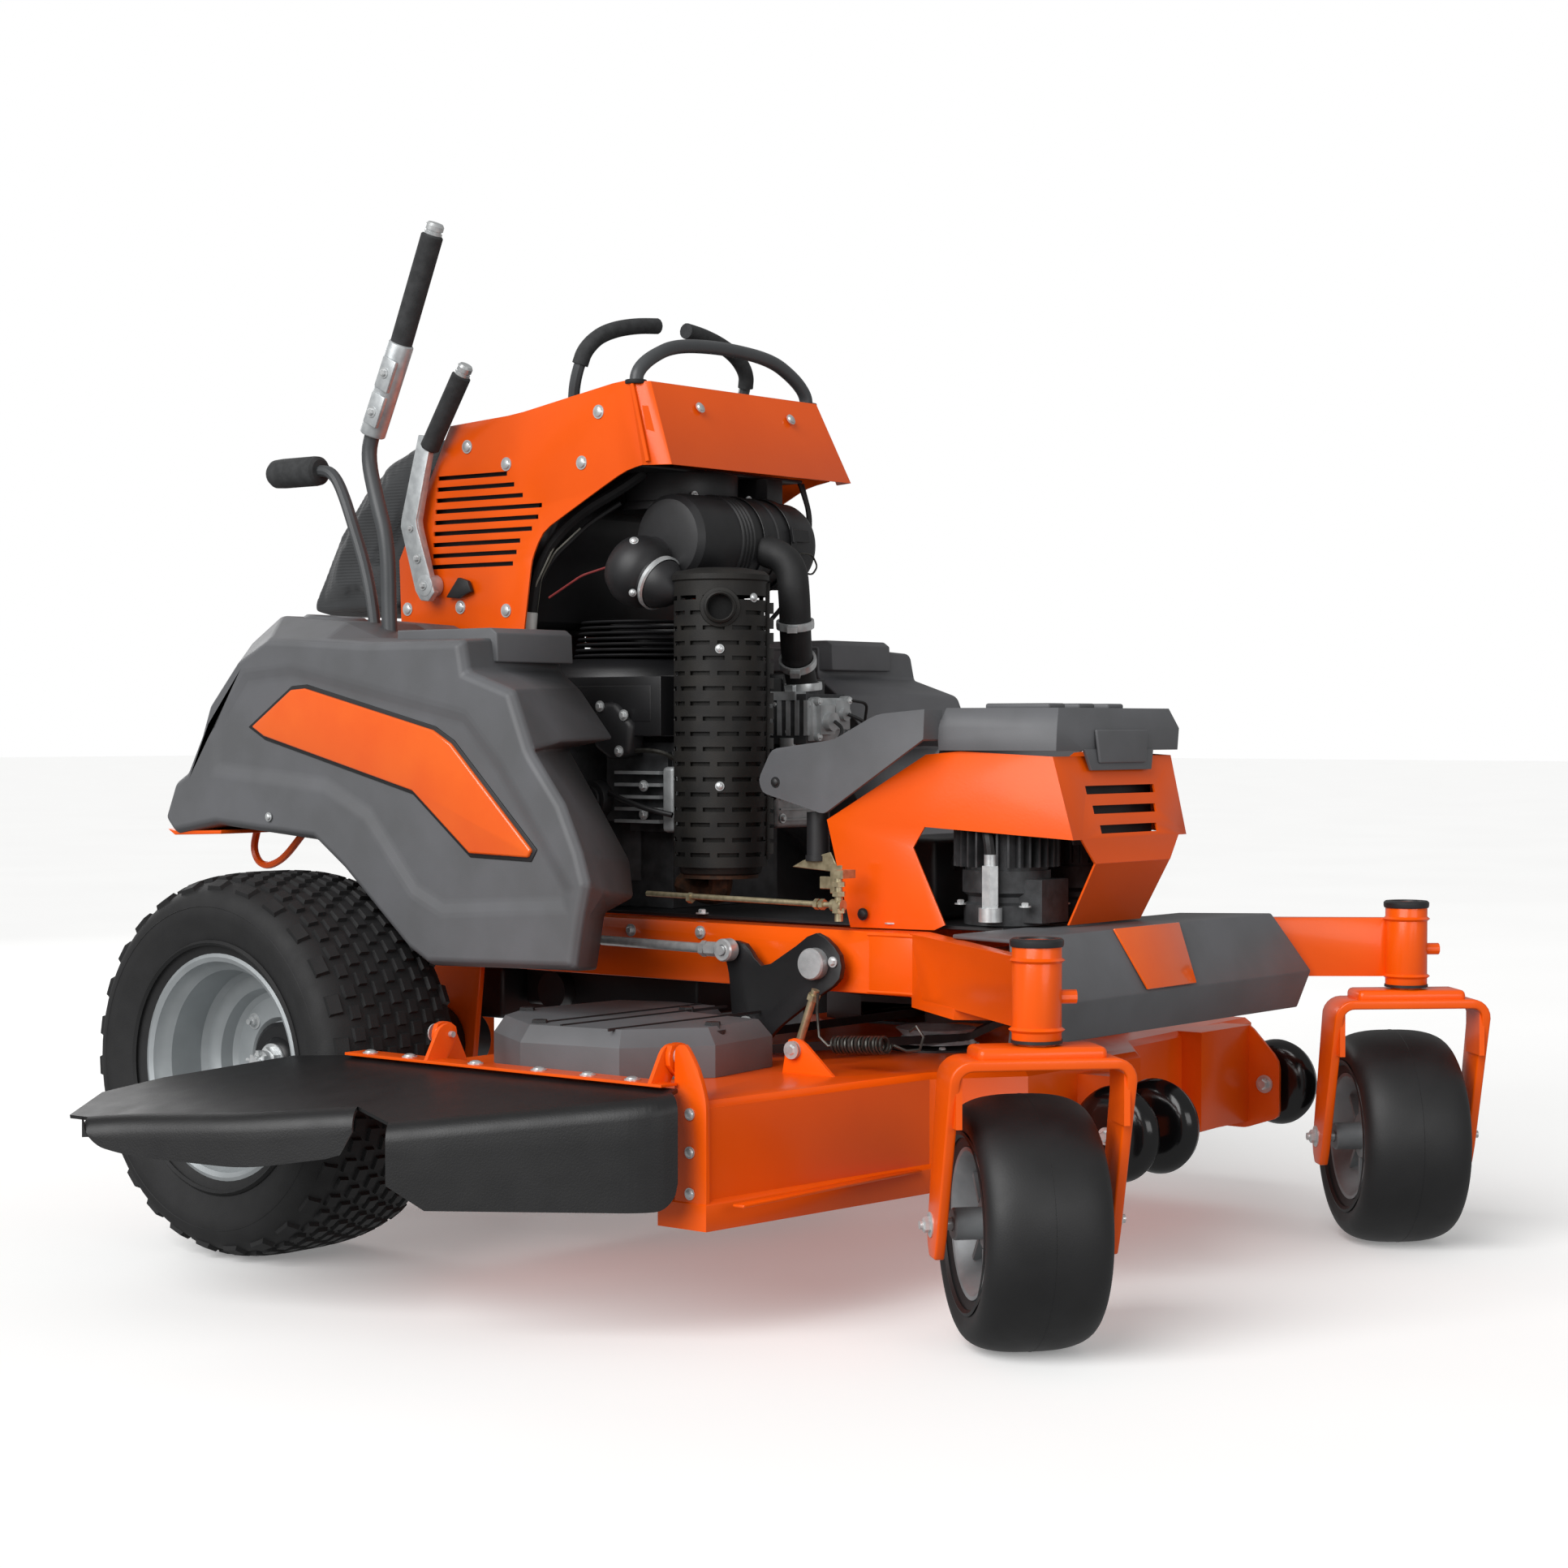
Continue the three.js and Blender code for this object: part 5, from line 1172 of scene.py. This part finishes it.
def make_pad():
    """Knee and thigh pad of the operator: woven vinyl over foam, filled tight."""
    section = [(16, 1276), (100, 1268), (168, 1244), (232, 1199), (291, 1131), (358, 1010), (356, 998),
        (140, 1000), (136, 1084)]
    bm = bmesh.new()
    side_plate(bm, section, -206, 206)
    bevel_edges(bm, 9, 3)
    piece = finished("operator_pad_cover", bm, VINYL, replaces=["operator_pad"])
    for polygon in piece.data.polygons:
        polygon.use_smooth = True
    remesh = piece.modifiers.new("skin", "REMESH")
    remesh.mode = "VOXEL"
    remesh.voxel_size = PAD_VOXEL
    applied(piece)
    rest = [v.co.copy() for v in piece.data.vertices]
    cloth = piece.modifiers.new("filling", "CLOTH")
    cloth.settings.quality = 6
    cloth.settings.use_pressure = True
    cloth.settings.uniform_pressure_force = PAD_PRESSURE
    cloth.settings.effector_weights.gravity = 0
    cloth.collision_settings.use_collision = False
    scene = bpy.context.scene
    for step in range(1, PAD_FRAMES + 1):
        scene.frame_set(step)
    applied(piece)
    scene.frame_set(1)
    for vertex, start in zip(piece.data.vertices, rest):
        move = vertex.co - start
        if move.length > PAD_SWELL:
            vertex.co = start + move.normalized() * PAD_SWELL
    without_creases(piece)
    for polygon in piece.data.polygons:
        polygon.use_smooth = True
    finer = piece.modifiers.new("finer", "SUBSURF")
    finer.levels = finer.render_levels = 1


def applied(piece):
    """Replaces the piece's mesh by what its modifiers make of it."""
    graph = bpy.context.evaluated_depsgraph_get()
    mesh = bpy.data.meshes.new_from_object(piece.evaluated_get(graph), depsgraph=graph)
    old = piece.data
    piece.modifiers.clear()
    piece.data = mesh
    mesh.name = old.name + "_made"
    if not mesh.materials:
        mesh.materials.append(VINYL)
    bpy.data.meshes.remove(old)


# ---- controls ----
def make_reference_bar():
    half = [(212, 1332), (209, 1354), (178, 1378), (118, 1403)]
    route = [(-x, -396, z) for x, z in half] + [(0, -396, 1410)] + [(x, -396, z) for x,
        z in reversed(half)]
    bm = bmesh.new()
    pipe(bm, route, 11, 20, 10)
    finished("reference_bar_tube", bm, GREY_TUBE, "chassis", "black_steel_paint", ["reference_bar"])
    bm = bmesh.new()
    for x in (-212, 212):
        round_bar(bm, (x, -396, 1333), (x, -396, 1340), 17, 28)
    bevel_edges(bm, 1.5, 2)
    finished("bar_grommets", bm, TYRE, "chassis", "black_steel_paint")


def make_drive_lever(side):
    s, body = SIDES[side], f"steer_{side}"
    bm = bmesh.new()
    pipe(bm, [(s * 196, -250, 1262), (s * 198, -251, 1322), (s * 205, -262, 1352), (s * 203, -275, 1388),
        (s * 172, -280, 1421)], 9.5, 18)
    round_bar(bm, (s * 180, -250, 1262), (s * 212, -250, 1262), 16, 32)
    finished(f"lever_tube_{side}", bm, GREY_TUBE, body, replaces=[f"drive_lever_{side}"])
    bm = bmesh.new()
    pipe(bm, [(s * 204, -271, 1374), (s * 200, -277, 1396), (s * 172, -280, 1421), (s * 130, -281, 1437),
        (s * 80, -283, 1447), (s * 36, -284, 1451)], 13, 24, 10)
    finished(f"lever_foam_{side}", bm, FOAM, body)
    bm = bmesh.new()
    hex_bolt(bm, (s * 199, -262, 1300), (0, -1, 0), 7)
    hex_bolt(bm, (s * 180, -250, 1262), (-s, 0, 0), 10)
    finished(f"lever_bolts_{side}", bm, ZINC, body)


def grip_with_cap(prefix, body, start, end, radius):
    """Foam sleeve with rounded ends and a ribbed metal cap on a lever."""
    start, end = Vector(start), Vector(end)
    length = (end - start).length
    place = facing(start, end - start)
    bm = bmesh.new()
    spun(bm, [(0, 0), (radius - 3, 0), (radius, 3), (radius, length - 3), (radius - 3, length), (0,
        length)], (0, 0, 0), "z", 40)
    merged(bm)
    bm.transform(place)
    finished(f"{prefix}_foam_grip", bm, FOAM, body)
    bm = bmesh.new()
    spun(bm, [(0, length), (radius - 3, length), (radius - 3, length + 3), (radius - 5, length + 4),
        (radius - 5, length + 6), (radius - 3, length + 7), (radius - 3, length + 14), (radius - 6,
        length + 18), (0, length + 18)], (0, 0, 0), "z", 40)
    merged(bm)
    bm.transform(place)
    finished(f"{prefix}_grip_cap", bm, ZINC, body)


def make_lift_lever():
    body = "deck_lever"
    bm = bmesh.new()
    pipe(bm, [(-400, -60, 800), (-400, -44, 943), (-400, -41, 1093), (-400, -15, 1163), (-400, 5, 1233),
        (-400, -10, 1275)], 12.5, 20)
    round_bar(bm, (-412, -60, 800), (-372, -60, 800), 26, 36)
    finished("lift_post", bm, GREY_TUBE, body, replaces=["lift_lever"])
    start, end = Vector((-400, -6, 1264)), Vector((-400, -73, 1404))
    place = facing(start, end - start, "X")
    length = (end - start).length
    bm = bmesh.new()
    spun(bm, [(13, 0), (19, 0), (20.5, 3), (20.5, length - 3), (19, length), (13, length)], (0, 0, 0), "z",
        40, closed=True)
    merged(bm)
    bm.transform(place)
    way = (end - start).normalized()
    for part in (0.12, 0.5):
        low = start + way * length * part
        plate(bm, [low + Vector((-23, -22, -10)), low + way * 52 + Vector((-23, -22, -10)),
            low + way * 52 + Vector((-23, 6, 4)), low + Vector((-23, 6, 4))], (8, 0, 0))
    bevel_edges(bm, 2.5, 2, 40)
    finished("lift_clamp", bm, SATIN_ZINC, body)
    spots = [(start + way * length * part + Vector((-23, -8, 0)), (-1, 0, 0), 9) for part in (0.24, 0.66)]
    fasteners("lift_clamp_bolts", body, spots)
    grip_with_cap("lift", body, start + way * (length - 6), Vector((-400, -143, 1566)), 17.5)


def make_height_lever():
    body = "height_stop"
    bm = bmesh.new()
    pipe(bm, [(-400, -15, 830), (-400, -14, 957), (-400, 6, 1050), (-400, 65, 1185), (-400, 90, 1213),
        (-400, 122, 1215)], 9.5, 18)
    round_bar(bm, (-412, -15, 830), (-388, -15, 830), 20, 32)
    finished("height_post", bm, GREY_TUBE, body, replaces=["height_lever"])
    bm = bmesh.new()
    spun(bm, [(0, 0), (18, 0), (23, 4), (24, 12), (24, 86), (23, 104), (18, 112), (10, 116), (0, 117)], (0,
        0, 0), "z", 40)
    merged(bm)
    bm.transform(Matrix.Translation((-400, 114, 1215)) @ Matrix.Rotation(math.radians(-90), 4, "X"))
    finished("height_knob", bm, FOAM, body)


def make_parking_brake():
    body = "brake_lever"
    outline = [(8, 1022), (22, 1008), (40, 1010), (52, 1026), (86, 1132), (84, 1146), (44, 1280), (14,
        1272), (50, 1142), (48, 1130)]
    bm = bmesh.new()
    side_plate(bm, outline, -252, -248)
    side_plate(bm, [(y * 0.86 + 6, z) for y, z in outline], -249, -236)
    round_bar(bm, (-253, 30, 1034), (-226, 30, 1034), 18, 32)
    bevel_edges(bm, 1.6, 2)
    finished("brake_blade", bm, SATIN_ZINC, body, replaces=["parking_brake_lever"])
    spots = [((-253, 32, 1034), (-1, 0, 0), 8), ((-253, 46, 1078), (-1, 0, 0), 8), ((-253, 62, 1128), (-1,
        0, 0), 6)]
    fasteners("brake_bolts", body, spots)
    grip_with_cap("brake", body, (-243, 28, 1256), (-243, -48, 1371), 16)
    bm = bmesh.new()
    plate(bm, [(-228, -30, 1046), (-228, -52, 1040), (-228, -60, 1022), (-228, -30, 1012), (-228, -2,
        1014)], (-8, 0, 0))
    bevel_edges(bm, 2, 2)
    finished("brake_stop", bm, NYLON)


# ---- hood and bumper ----
def make_hood_details():
    # Three long ridges on the lid's top, and the tongue in front of them.
    bm = bmesh.new()
    for x, half in ((-78, 24), (0, 24), (78, 24)):
        low = [(x - half, -976, 829), (x + half, -976, 829), (x + half * 0.9, -1086, 829), (x - half * 0.9,
            -1086, 829)]
        plate(bm, low, (0, 0, 9))
    bevel_edges(bm, 3.5, 3)
    finished("lid_ridges", bm, MOULDING, "lid")
    bm = bmesh.new()
    plate(bm, [(-70, -1147.5, 800), (70, -1147.5, 800), (62, -1149, 752), (-62, -1149, 752)], (0, 5, 0))
    bevel_edges(bm, 3, 3)
    finished("lid_tongue", bm, MOULDING, "lid")
    for side, s in SIDES.items():
        spots = [((s * 232, -690, 722), (s, 0, 0), 8)]
        fasteners(f"lid_pivots_{side}", "lid", spots, dome_bolt, NYLON)
        fasteners(f"hood_bolts_{side}", "chassis", [((s * 218, -842, 532), (s, 0, 0), 9)], dome_bolt,
            NYLON)
    # Dark plate behind the louvres: painted shade of the hood's inside.
    bm = bmesh.new()
    plate(bm, [(-120, -1118, 740), (120, -1118, 740), (104, -1132, 636), (-104, -1132, 636)], (0, 3, 0))
    finished("hood_shade_plate", bm, NYLON)
    # Solenoid on its bracket under the lid's rear end.
    bm = bmesh.new()
    round_bar(bm, (-196, -742, 612), (-196, -742, 678), 17, 32)
    round_bar(bm, (-196, -742, 606), (-196, -742, 614), 19, 32)
    finished("solenoid", bm, NYLON)
    bm = bmesh.new()
    round_bar(bm, (-196, -742, 678), (-196, -742, 694), 5, 16)
    side_plate(bm, [(-700, 596), (-790, 590), (-772, 620), (-720, 606)], -206, -203)
    block(bm, (-222, -806, 560), (-198, -784, 602))
    block(bm, (-216, -782, 566), (-206, -760, 584))
    bevel_edges(bm, 1, 1)
    finished("solenoid_bracket", bm, YELLOW_ZINC)
    # Battery box under the hood, behind its windows.
    bm = bmesh.new()
    block(bm, (-120, -900, 520), (120, -780, 640))
    bevel_edges(bm, 8, 3)
    finished("battery_box", bm, NYLON)


def make_bumper_badge():
    corners = [(-101, -1194, 519), (75, -1194, 519), (57, -1234.5, 434), (-75, -1234.5, 434)]
    bm = bmesh.new()
    plate(bm, corners, (0, -3.2, 1.4))
    bevel_edges(bm, 1.6, 2)
    finished("bumper_badge", bm, BADGE)


# ---- deck ----
SPINDLES = ((-430, -640), (0, -815), (430, -640))
BELT_Z = 337
BELT_WIDTH = 12
BELT_THICK = 8
PULLEY_RADIUS = 56
ROLLER_Z = 223
SHEET_X, SHEET_Z, SHEET_SLOPE = -738, 332, 0.177   # the deflector sheet falls away from the deck


def make_deck_details():
    bm = bmesh.new()
    for y in (-466, -901):
        hex_bolt(bm, (-697, y - 5, 373), (0, -1, 0), 13, 8)
        hex_bolt(bm, (-697, y + 17, 373), (0, 1, 0), 13)
    finished("hinge_pins", bm, ZINC, "deck")
    spots = [((-728, y, 340), (0, 0, 1), 11) for y in (-350, -430, -560, -680, -770, -850)]
    fasteners("hinge_strip_bolts", "deflector", spots, dome_bolt)
    bm = bmesh.new()
    for z in (196, 250, 300):
        dome_bolt(bm, (-711, -935, z), (-1, 0, 0), 8)
    for y in (-350, -410):
        dome_bolt(bm, (-706, y, 260), (-1, 0, 0), 8)
    for s in (-1, 1):
        hex_bolt(bm, (s * 388 - 1, -850, 350), (-1, 0, 0), 13)
        hex_bolt(bm, (s * 395, -850, 350), (1, 0, 0), 13)
    for x, y in SPINDLES:
        for i in range(4):
            turn = math.tau * (i + 0.5) / 4
            hex_bolt(bm, (x + 62 * math.cos(turn), y + 62 * math.sin(turn), 318), (0, 0, 1), 9)
    hex_bolt(bm, (589, -1048, ROLLER_Z), (-1, 0, 0), 15)
    hex_bolt(bm, (664, -1048, ROLLER_Z), (1, 0, 0), 13)
    hex_bolt(bm, (-82, -1172, ROLLER_Z), (-1, 0, 0), 13)
    hex_bolt(bm, (82, -1172, ROLLER_Z), (1, 0, 0), 13)
    finished("deck_bolts", bm, ZINC, "deck")
    for side, s in SIDES.items():
        bm = bmesh.new()
        for x, y in ((600, -560), (480, -420), (330, -600), (470, -770)):
            round_bar(bm, (s * x, y, 378), (s * x, y, 391), 14, 6, 11)
            round_bar(bm, (s * x, y, 374), (s * x, y, 380), 18, 28)
        for y in (-610, -560, -700):
            block(bm, (s * 250, y - 1.5, 384), (s * 610, y + 1.5, 388))
        finished(f"cover_knobs_{side}", bm, NYLON, "deck")
        # Rib along the foot of the deck's front wall.
        bm = bmesh.new()
        block(bm, (s * 300, -1009, 182), (s * 690, -990, 186))
        bevel_edges(bm, 1.5, 2)
        finished(f"deck_rib_{side}", bm, POWDER, "deck")
    bm = bmesh.new()
    for x, y in SPINDLES:
        spun(bm, [(36, 316), (76, 316), (76, 320), (52, 322), (46, 326), (36, 326)], (x, y, 0), "z", 40,
            closed=True)
    merged(bm)
    finished("spindle_flanges", bm, ENAMEL, "deck")


def sheet_height(x):
    return SHEET_Z + (x - SHEET_X) * SHEET_SLOPE


def hanging_flap(bm, route, bottoms, bend=22, corner=32):
    """Rubber wall that curls over from the sheet and hangs down, its lower corners rounded."""
    line = rounded_route([(x, y, low) for (x, y), low in zip(route, bottoms)], 40, 6)
    points = []
    for before, after in zip(line, line[1:]):
        points += [Vector(before).lerp(Vector(after), part / 6) for part in range(6)]
    points.append(Vector(line[-1]))
    run = [0.0]
    for before, after in zip(points, points[1:]):
        run.append(run[-1] + (after - before).xy.length)
    rows = []
    for index, point in enumerate(points):
        way = (points[min(index + 1, len(points) - 1)] - points[max(index - 1, 0)]).xy.normalized()
        inward = Vector((way.y, -way.x, 0))
        end = min(run[index], run[-1] - run[index], corner)
        low = point.z + corner - math.sqrt(corner ** 2 - (corner - end) ** 2)
        column = []
        for step in range(6):
            angle = math.radians(18 * step)
            place = Vector((point.x, point.y, 0)) + inward * bend * (1 - math.sin(angle))
            place.z = sheet_height(place.x) - bend * (1 - math.cos(angle))
            column.append(place)
        wall_top = column[-1].z
        column += [Vector((point.x, point.y, wall_top + (low - wall_top) * step / 4)) for step in range(1,
            5)]
        rows.append([bm.verts.new(place) for place in column])
    for first, second in zip(rows, rows[1:]):
        for index in range(len(first) - 1):
            bm.faces.new((first[index], first[index + 1], second[index + 1], second[index]))


def make_deflector():
    bm = bmesh.new()
    hanging_flap(bm, [(-752, -950), (-788, -933), (-984, -652)], [184, 180, 180])
    hanging_flap(bm, [(-943, -545), (-1012, -409), (-1070, -235), (-1101, -180)], [236, 214, 222, 240])
    sheet = [(-725, -310), (-752, -215), (-900, -105), (-985, -75), (-1083, -130), (-1082, -169), (-1050,
        -226), (-992, -401), (-923, -535), (-966, -639), (-770, -920), (-743, -930), (-725, -926)]
    bm.faces.new([bm.verts.new((x, y, sheet_height(x) - 0.6)) for x, y in sheet])
    bm.normal_update()
    for face in bm.faces:
        if face.normal.dot(Vector((-0.8, -0.4, 1))) < 0:
            face.normal_flip()
    piece = finished("deflector_sheet", bm, SHEET_RUBBER, "deflector", replaces=["discharge_deflector"],
        recalc=False)
    walled(piece, 5)


def arc_points(x, y, radius, start, stop, steps=10):
    return [(x + radius * math.cos(math.radians(start + (stop - start) * i / steps)),
        y + radius * math.sin(math.radians(start + (stop - start) * i / steps))) for i in range(steps + 1)]


def make_belt():
    """Flat drive belt round the three pulleys."""
    (right, middle, left) = SPINDLES
    outside = arc_points(*right, PULLEY_RADIUS, 100, 245) + arc_points(*middle, PULLEY_RADIUS, 250, 290)
    outside += arc_points(*left, PULLEY_RADIUS, 295, 440)
    inside = shrunk(outside, BELT_THICK)
    low, high = BELT_Z - BELT_WIDTH / 2, BELT_Z + BELT_WIDTH / 2
    bm = bmesh.new()
    rings = []
    for outline, z in ((outside, low), (outside, high), (inside, high), (inside, low)):
        verts = [bm.verts.new((x, y, z)) for x, y in outline]
        rings.append([bm.edges.new(pair) for pair in zip(verts, verts[1:] + verts[:1])])
    bridged(bm, rings + rings[:1])
    finished("deck_belt", bm, HOSE, "deck")


def make_rollers():
    for name, body, node, x, y in (("centre_right", "roller_a", "roller_centre_right", -54, -1172),
            ("centre_left", "roller_b", "roller_centre_left", 54, -1172), ("corner_left", "roller_c",
            "roller_corner_left", 633, -1048)):
        section = [(8, -23), (40, -23), (52, -21), (61, -16), (67, -9), (69.6, 0), (67, 9), (61, 16), (52,
            21), (40, 23), (8, 23)]
        bm = bmesh.new()
        spun(bm, section, (x, y, ROLLER_Z), "x", 56, closed=True)
        merged(bm)
        finished(f"roller_ball_{name}", bm, ROLLER, body, replaces=[node])


# ---- lift linkage ----
def make_linkage():
    s = -1
    bm = bmesh.new()
    bar_start, bar_end = Vector((s * 294, -640, 475)), Vector((s * 294, -400, 478))
    round_bar(bm, bar_start, bar_end, 7.5, 28)
    spun(bm, [(8, -11), (15, -11), (17, -8), (17, 8), (15, 11), (8, 11)], (s * 293, -646, 475), "x", 36,
        closed=True)
    merged(bm)
    round_bar(bm, bar_start + Vector((0, 10, 0)), bar_start + Vector((0, 30, 0)), 11, 6)
    round_bar(bm, bar_start + Vector((0, 32, 0)), bar_start + Vector((0, 40, 0)), 12, 6)
    round_bar(bm, (s * 280, -646, 475), (s * 308, -646, 475), 7, 24)
    finished("lift_link_rod", bm, ZINC, "lift_link", replaces=["lift_rod"])
    bm = bmesh.new()
    rod_start, rod_end = Vector((s * 270, -832, 547)), Vector((s * 270, -470, 551))
    round_bar(bm, rod_start, rod_end, 4.2, 20)
    for y in (-812, -802, -560):
        round_bar(bm, (s * 270, y, 547.4), (s * 270, y + 7, 547.4), 8, 6)
    round_bar(bm, (s * 270, -846, 547), (s * 270, -826, 547), 8.5, 24)
    round_bar(bm, (s * 262, -838, 547), (s * 279, -838, 547), 6, 20)
    round_bar(bm, (s * 270, -838, 524), (s * 270, -838, 592), 6, 20)
    for z in (536, 560, 574):
        round_bar(bm, (s * 270, -838, z), (s * 270, -838, z + 7), 10, 6)
    block(bm, (s * 276, -850, 586), (s * 246, -834, 598))
    finished("control_rod", bm, YELLOW_ZINC, "pump_link", replaces=["pump_control_rod"])
    for side, s in SIDES.items():
        body = f"crank_{side}"
        bm = bmesh.new()
        spun(bm, [(0, s * 269), (22, s * 269), (23, s * 280), (23, s * 293), (21, s * 296), (0, s * 296.5)],
            (0, -804, 462), "x", 40)
        merged(bm)
        finished(f"crank_pin_{side}", bm, CAST, body)
        bm = bmesh.new()
        hex_bolt(bm, (s * 284, -676, 362), (s, 0, 0), 17, 8)
        hex_bolt(bm, (s * 281, -836, 466), (s, 0, 0), 8)
        finished(f"crank_bolts_{side}", bm, ZINC, body)
        # Threaded rod that hangs the deck from the crank, with its nut.
        bm = bmesh.new()
        round_bar(bm, (s * 306, -824, 427), (s * 306, -795, 352), 6, 20)
        round_bar(bm, (s * 306, -822, 420), (s * 306, -819, 412), 10, 6)
        finished(f"deck_hanger_rod_{side}", bm, YELLOW_ZINC)
        # Weld beads and doubler plate on the rail.
        bm = bmesh.new()
        block(bm, (s * 249, -960, 426), (s * 254, -880, 504))
        bevel_edges(bm, 1.2, 2)
        for z in (424, 506):
            pipe(bm, [(s * 252, -962, z), (s * 253, -940, z + 0.6), (s * 252, -900, z), (s * 253, -878, z)],
                2.6, 8)
        finished(f"rail_doubler_{side}", bm, POWDER)
        spots = [((s * 251, y, z), (s, 0, 0), 10) for y, z in ((-300, 490), (-420, 492), (-560, 495))]
        spots += [((s * 200, y, 519), (0, 0, 1), 10) for y in (-880, -520, -300, -80, 120)]
        fasteners(f"rail_bolts_{side}", "chassis", spots)


def make_spring():
    """Extension spring that carries part of the deck's weight, with a hook at each end."""
    turns, steps, x = 15, 14, -318
    start, end = Vector((x, -868, 352)), Vector((x, -960, 358))
    way = end - start
    across, up = AXES["x"], way.normalized().cross(AXES["x"])
    coil = []
    for i in range(turns * steps + 1):
        turn = math.tau * i / steps
        around = across * math.cos(turn) + up * math.sin(turn)
        coil.append(start + way * (i / (turns * steps)) + around * 11.5)
    bm = bmesh.new()
    tail = [Vector((x, -838, 424)), Vector((x, -836, 398)), Vector((x, -840, 362)), Vector((x, -856, 350))]
    hook = [Vector((x, -974, 358)), Vector((x, -996, 352)), Vector((x, -1018, 356)), Vector((x, -1024,
        374)), Vector((x, -1012, 388)), Vector((x, -1000, 380))]
    pipe(bm, tail + coil + hook, 2.2, 8, 0)
    finished("lift_spring", bm, SPRING_STEEL, replaces=["assist_spring"])


def make_belly():
    """Closed belt guard and idler bracket under the engine plate."""
    bm = bmesh.new()
    block(bm, (-150, -470, 352), (150, -96, 414))
    block(bm, (-196, -90, 330), (196, 20, 415))
    bevel_edges(bm, 8, 3)
    round_bar(bm, (-176, -180, 380), (-150, -180, 380), 30, 32)
    round_bar(bm, (-90, -300, 336), (-90, -300, 353), 52, 40)
    round_bar(bm, (90, -300, 336), (90, -300, 353), 52, 40)
    finished("belt_guard", bm, ENAMEL)


# ---- operator platform and rear ----
def make_platform_details():
    bm = bmesh.new()
    for i in range(9):
        x = -176 + i * 44
        block(bm, (x - 12, 396, 191), (x + 12, 582, 194.5))
    bevel_edges(bm, 1.2, 1)
    finished("tread_cleats", bm, TREAD, "platform")
    bm = bmesh.new()
    for s in (-1, 1):
        hex_bolt(bm, (s * 184, 352, 232), (s, 0, 0), 11)
    for x in (-160, -60, 60, 160):
        for z in (230, 470):
            hex_bolt(bm, (x, 326, z), (0, 1, 0), 11)
    finished("rear_bolts", bm, ZINC)
    bm = bmesh.new()
    for i in range(8):
        z = 560 + i * 22
        block(bm, (-150, 116, z), (150, 119, z + 8))
    finished("rear_vents", bm, ENAMEL)
    # Filler cap of the tank, with its finger ribs.
    bm = bmesh.new()
    spun(bm, [(0, 1296), (40, 1296), (42, 1298), (42, 1312), (38, 1317), (0, 1318)], (120, -60, 0), "z",
        48)
    merged(bm)
    for i in range(16):
        turn = Matrix.Translation((120, -60, 1306)) @ Matrix.Rotation(math.tau * i / 16, 4, "Z")
        lug(bm, turn, (42, 0, 0), (4, 7, 14))
    finished("fuel_cap", bm, NYLON)


SOFTENED_NODES = [
    ("frame_rail_right", POWDER, 3), ("frame_rail_left", POWDER, 3), ("rear_frame", POWDER, 3),
    ("front_axle", POWDER, 3),
    ("tower_panel_right", POWDER, 0.8), ("tower_panel_left", POWDER, 0.8), ("console_front", POWDER, 0.8),
    ("console_top", NYLON, 1), ("tower_back", ENAMEL, 1), ("hood_shell", POWDER, 0.9), ("hood_lid",
                                                                                        MOULDING, 5),
    ("front_bumper", MOULDING, 2.2), ("deck_shell", POWDER, 1.6), ("deflector_hinge", POWDER, 1.2),
    ("bell_crank_right", ENAMEL, 2), ("bell_crank_left", ENAMEL, 2),
    ("belt_cover_right", MOULDING, 5), ("belt_cover_left", MOULDING, 5), ("engine_plate", ENAMEL, 1.5),
    ("engine_block", DARK_CAST, 3), ("operator_platform", TREAD, 1.6), ("wheel_motor_right", ENAMEL, 3),
    ("wheel_motor_left", ENAMEL, 3), ("fuel_tank", NYLON, 12), ("blade_spindle_right", SATIN_ZINC, 0.8),
    ("blade_spindle_centre", SATIN_ZINC, 0.8), ("blade_spindle_left", SATIN_ZINC, 0.8),
]


make_camera()
make_floor()
make_light()
for node, finish, width in SOFTENED_NODES:
    softened(node, finish, width)
for side_name in SIDES:
    make_rear_tyre(side_name)
    make_rear_rim(side_name)
    make_caster_wheel(side_name)
    make_fork(side_name)
    make_fork_hardware(side_name)
    make_fender(side_name)
    make_drive_lever(side_name)
make_muffler()
make_muffler_shield()
make_blower()
make_heads()
make_air_cleaner()
make_intake_elbow()
make_pumps()
make_tower_details()
make_cables()
make_pad()
make_reference_bar()
make_lift_lever()
make_height_lever()
make_parking_brake()
make_hood_details()
make_bumper_badge()
make_deck_details()
make_deflector()
make_belt()
make_rollers()
make_linkage()
make_spring()
make_belly()
make_platform_details()
